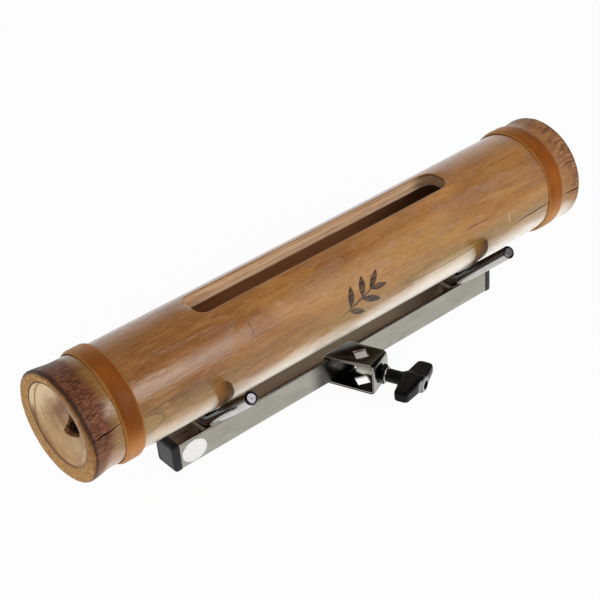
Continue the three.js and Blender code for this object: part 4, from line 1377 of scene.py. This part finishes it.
def hex_nut():
    """A six-sided nut with turned corners, round its bore."""
    flat, bore, sides = 7.0, BORE_RADIUS, 72
    # Radius and height; where there is no radius, the nut is six-sided
    rows = [(bore, 0.5), (bore + 0.5, 0.0), (flat - 0.25, 0.0), (None, 0.55), (None, NUT_HEIGHT - 0.55),
            (flat - 0.25, NUT_HEIGHT), (bore + 0.5, NUT_HEIGHT), (bore, NUT_HEIGHT - 0.5)]
    rings = [[] for _ in rows]
    for k in range(sides):
        a = 2 * math.pi * k / sides
        part = (a + math.pi / 6) % (math.pi / 3) - math.pi / 6
        for ring, (radius, height) in zip(rings, rows):
            r = radius or flat / math.cos(part)
            ring.append(on_screw(r * math.sin(a), r * math.cos(a), NUT_S + height))
    made = tube("nut", rings, [BLACKENED], sharp=25.0, closed=True)
    finish(made, "frame", "black_nickel", "clamp_nut")


def clamp_washer():
    bore, rim, top = BORE_RADIUS, 6.3, WASHER_HEIGHT
    profile = [(bore, 0.2), (bore + 0.2, 0.0), (rim - 0.35, 0.0), (rim, 0.3),
               (rim, top - 0.3), (rim - 0.35, top), (bore + 0.2, top), (bore, top - 0.2)]
    made = lathe("washer", [(r, WASHER_S + h) for r, h in profile], 72, on_screw, [ZINC], closed=True)
    finish(made, "clamp_carriage", "zinc", "clamp_washer")


def stud():
    """The screw: a turned pad and a cut thread, up to its seat in the knob."""
    pitch, major, depth, sides = 1.25, 4.0, 0.62, 48
    tip = POST_S - 3.3
    begin, end = tip + 7.9, STUD_SEAT - GAP
    pad = [(3.7, 0.0), (4.1, 0.2), (4.4, 0.6), (4.4, 7.1), (4.3, 7.5), (4.0, 7.7), (3.7, 7.7)]
    rings = [[on_screw(a, b, tip + past) for a, b in circle(sides, radius)] for radius, past in pad]
    steps = int((end - begin) / (pitch / 8))
    for i in range(steps + 1):
        s = begin + (end - begin) * i / steps
        fade = smooth_step(0.0, 1.2, s - begin) * smooth_step(0.0, 0.8, end - s)
        ring = []
        for k, (a, b) in enumerate(circle(sides)):
            phase = (s / pitch - k / sides) % 1.0
            ridge = min(max(abs(phase - 0.5) * 2.6 - 0.25, 0.0), 1.0)
            r = major - 0.03 - depth * (1 - ridge) * fade - (1 - fade) * 0.35
            ring.append(on_screw(r * a, r * b, s))
        rings.append(ring)
    made = tube("stud", rings, [BRIGHT_ZINC], sharp=50.0)
    finish(made, "clamp_screw", "zinc", "wing_screw_stud")


KNOB_TURN = math.radians(-3.0)
KNOB_COS, KNOB_SIN = math.cos(KNOB_TURN), math.sin(KNOB_TURN)
WING_REACH = 24.6


def knob_wing(hand, middle):
    """One wing, narrowing outwards to a rounded tip."""
    rings = []
    for t in np.linspace(0.0, 1.0, 12):
        across = hand * WING_REACH * t
        pinch = math.sqrt(max(1 - smooth_step(0.86, 1.10, t) ** 2, 0.05))
        wide, thick, thin = (9.9 - 4.1 * t) * pinch, (7.6 - 3.0 * t) * pinch, 4.2 * pinch
        ring = []
        for c, s in circle(36):
            # A rounded box section
            grow = (abs(c) ** 5 + abs(s) ** 5) ** (-1 / 5)
            # Flush with the hub's top on one side and with its bottom on the other
            high = (thick if s * hand < 0 else thin) * s * grow
            # One wing reaches further back towards the stem
            reach = wide + (1.5 * t if hand > 0 and c < 0 else 0.0)
            ring.append(on_screw(across * KNOB_COS - high * KNOB_SIN, across * KNOB_SIN + high * KNOB_COS,
                                 middle + reach * c * grow))
        rings.append(ring)
    return tube(f"wing_{hand + 1}", rings, [KNOB])


def knob():
    """The moulded wing knob: a stem and hub with two wings, blended together."""
    hub = STEM_S + STEM_HEIGHT
    top = hub + HUB_HEIGHT
    body = lathe("wing_knob_body", [
        (0.0, STEM_S), (5.1, STEM_S), (5.5, STEM_S + 0.4), (5.5, hub - 1.5), (6.0, hub), (7.3, hub + 3.0),
        (7.5, hub + 8.0), (7.3, top - 4.0), (6.6, top - 1.6), (5.2, top - 0.3), (4.4, top), (0.0, top),
    ], 48, on_screw, [KNOB])
    middle = (hub + top) / 2 - 0.3
    cut(body, [knob_wing(-1, middle), knob_wing(1, middle)], "UNION")
    remesh = body.modifiers.new("remesh", "REMESH")
    remesh.mode = "VOXEL"
    remesh.voxel_size = 0.42 * MM
    soften = body.modifiers.new("soften", "SMOOTH")
    soften.factor = 0.5
    soften.iterations = 5
    apply_modifiers(body)
    bore = [(0.0, STEM_S - 2.0), (BORE_RADIUS, STEM_S - 2.0), (BORE_RADIUS, STUD_SEAT), (0.0, STUD_SEAT)]
    dimple = [(0.0, top - 4.0), (3.7, top - 4.0), (3.7, top - 0.5), (4.1, top + 1.0), (0.0, top + 1.0)]
    cut(body, [lathe("knob_bore", bore, 40, on_screw, [KNOB]),
               lathe("knob_dimple", dimple, 40, on_screw, [KNOB])])
    body.name = "knob"
    if not body.data.materials:
        body.data.materials.append(KNOB)
    tidy_normals(body, 40.0)
    finish(body, "clamp_screw", "knob_plastic", "wing_knob")


bracket()
rear_bead()
hex_nut()
clamp_washer()
stud()
knob()


# Floor, light and camera. The instrument leans back on the bar's rear edge and the bracket, so
# the floor is tilted under it.

LEAN = math.atan2(PLATE_PAST_BAR, BAR / 2 - PLATE_EDGE_Y)
FLOOR_REACH, FLOOR_GAP = 2600.0, 0.05
FILL = 0.50
WHITE = (1.0, 1.0, 1.0)


def floor_material():
    g = new_material("floor_white")
    light = g.node("LightPath").outputs
    seen = g.largest(light["Is Camera Ray"], light["Is Glossy Ray"], light["Is Transmission Ray"])
    matt = g.node("BsdfDiffuse", {"Color": (0.90, 0.90, 0.90)}).outputs[0]
    glow = g.node("Emission", {"Color": WHITE, "Strength": 1.0}).outputs[0]
    clear = g.node("BsdfTransparent").outputs[0]
    pale = g.node("MixShader", {0: g.times(seen, 0.95), 1: matt, 2: glow}).outputs[0]
    backfacing = g.node("NewGeometry").outputs["Backfacing"]
    side = g.node("MixShader", {0: backfacing, 1: pale, 2: clear}).outputs[0]
    g.node("OutputMaterial", {"Surface": side})
    return g.owner


def floor():
    touch = Vector((0.0, PLATE_EDGE_Y, -BAR - PLATE_PAST_BAR - FLOOR_GAP))
    across = Vector((FLOOR_REACH, 0.0, 0.0))
    along = Vector((0.0, math.cos(LEAN), math.sin(LEAN))) * FLOOR_REACH
    points = [touch + across * a + along * b for a, b in ((-1, -1), (1, -1), (1, 1), (-1, 1))]
    mesh = bpy.data.meshes.new("floor")
    mesh.from_pydata([tuple((p + SHIFT) * MM) for p in points], [], [(0, 1, 2, 3)])
    mesh.materials.append(floor_material())
    made = bpy.data.objects.new("floor", mesh)
    bpy.context.collection.objects.link(made)


def studio_world():
    """White to the camera, soft grey fill, and for reflections a white backdrop in a dark room."""
    world = bpy.data.worlds.new("studio")
    bpy.context.scene.world = world
    g = Graph(world)
    light = g.node("LightPath").outputs
    way = g.node("SeparateXYZ", {0: g.node("TexCoord").outputs["Generated"]}).outputs
    backdrop = g.times(g.span(way[1], -0.10, 0.30), g.span(way[2], 0.72, 0.42))
    mirrored = g.math("MULTIPLY_ADD", backdrop, 0.85, 0.02)
    seen = g.largest(light["Is Camera Ray"], light["Is Transmission Ray"])
    level = g.math("MULTIPLY_ADD", light["Is Glossy Ray"], g.sub(mirrored, FILL), FILL)
    level = g.math("MULTIPLY_ADD", seen, g.sub(1.0, level), level)
    shade = g.node("Background", {"Color": WHITE, "Strength": level})
    g.node("OutputWorld", {"Surface": shade.outputs[0]})


def lamp(name, place, aim, size, power, mirrored):
    """A soft box; only the mirrored one shows in glossy surfaces."""
    light = bpy.data.lights.new(name, "AREA")
    light.shape = "ELLIPSE"
    light.size, light.size_y = size
    light.energy = power
    made = bpy.data.objects.new(name, light)
    bpy.context.collection.objects.link(made)
    made.location = place
    made.visible_glossy = mirrored
    made.rotation_euler = (Vector(aim) - Vector(place)).to_track_quat("-Z", "Y").to_euler()


floor()
studio_world()
lamp("key", (0.37, -1.28, 0.73), (-0.17, 0.0, 0.09), (0.42, 0.85), 5.0, True)
lamp("side", (-1.10, -0.90, 0.60), (0.0, 0.027, 0.07), (0.8, 0.8), 4.6, False)
lamp("front", (0.25, -1.25, 0.12), (0.06, 0.027, 0.07), (1.2, 0.2), 2.7, False)

# The photograph's camera, fitted to the bar, the culm's outline and the clamp
AZIMUTH, ELEVATION, ROLL = (math.radians(v) for v in (-37.32, 34.08, -5.22))
AIM = Vector((-29.513, 0.0, 57.97))
DISTANCE, FOCAL_PIXELS, FRAME_PIXELS = 1056.35, 1390.14, 600.0
away = Vector((math.sin(AZIMUTH) * math.cos(ELEVATION), -math.cos(AZIMUTH) * math.cos(ELEVATION),
               math.sin(ELEVATION)))
right = Vector((math.cos(AZIMUTH), math.sin(AZIMUTH), 0.0))
up = away.cross(right)
right_rolled = right * math.cos(ROLL) + up * math.sin(ROLL)
up_rolled = up * math.cos(ROLL) - right * math.sin(ROLL)
camera_data = bpy.data.cameras.new("camera")
camera_data.sensor_fit = "HORIZONTAL"
camera_data.sensor_width = 36.0
camera_data.lens = FOCAL_PIXELS * camera_data.sensor_width / FRAME_PIXELS
camera_data.clip_start = 0.01
camera = bpy.data.objects.new("camera", camera_data)
bpy.context.collection.objects.link(camera)
turned = Matrix((right_rolled, up_rolled, away)).transposed().to_4x4()
camera.matrix_world = Matrix.Translation((AIM + away * DISTANCE + SHIFT) * MM) @ turned
bpy.context.scene.camera = camera

bpy.context.scene.view_settings.view_transform = "Standard"
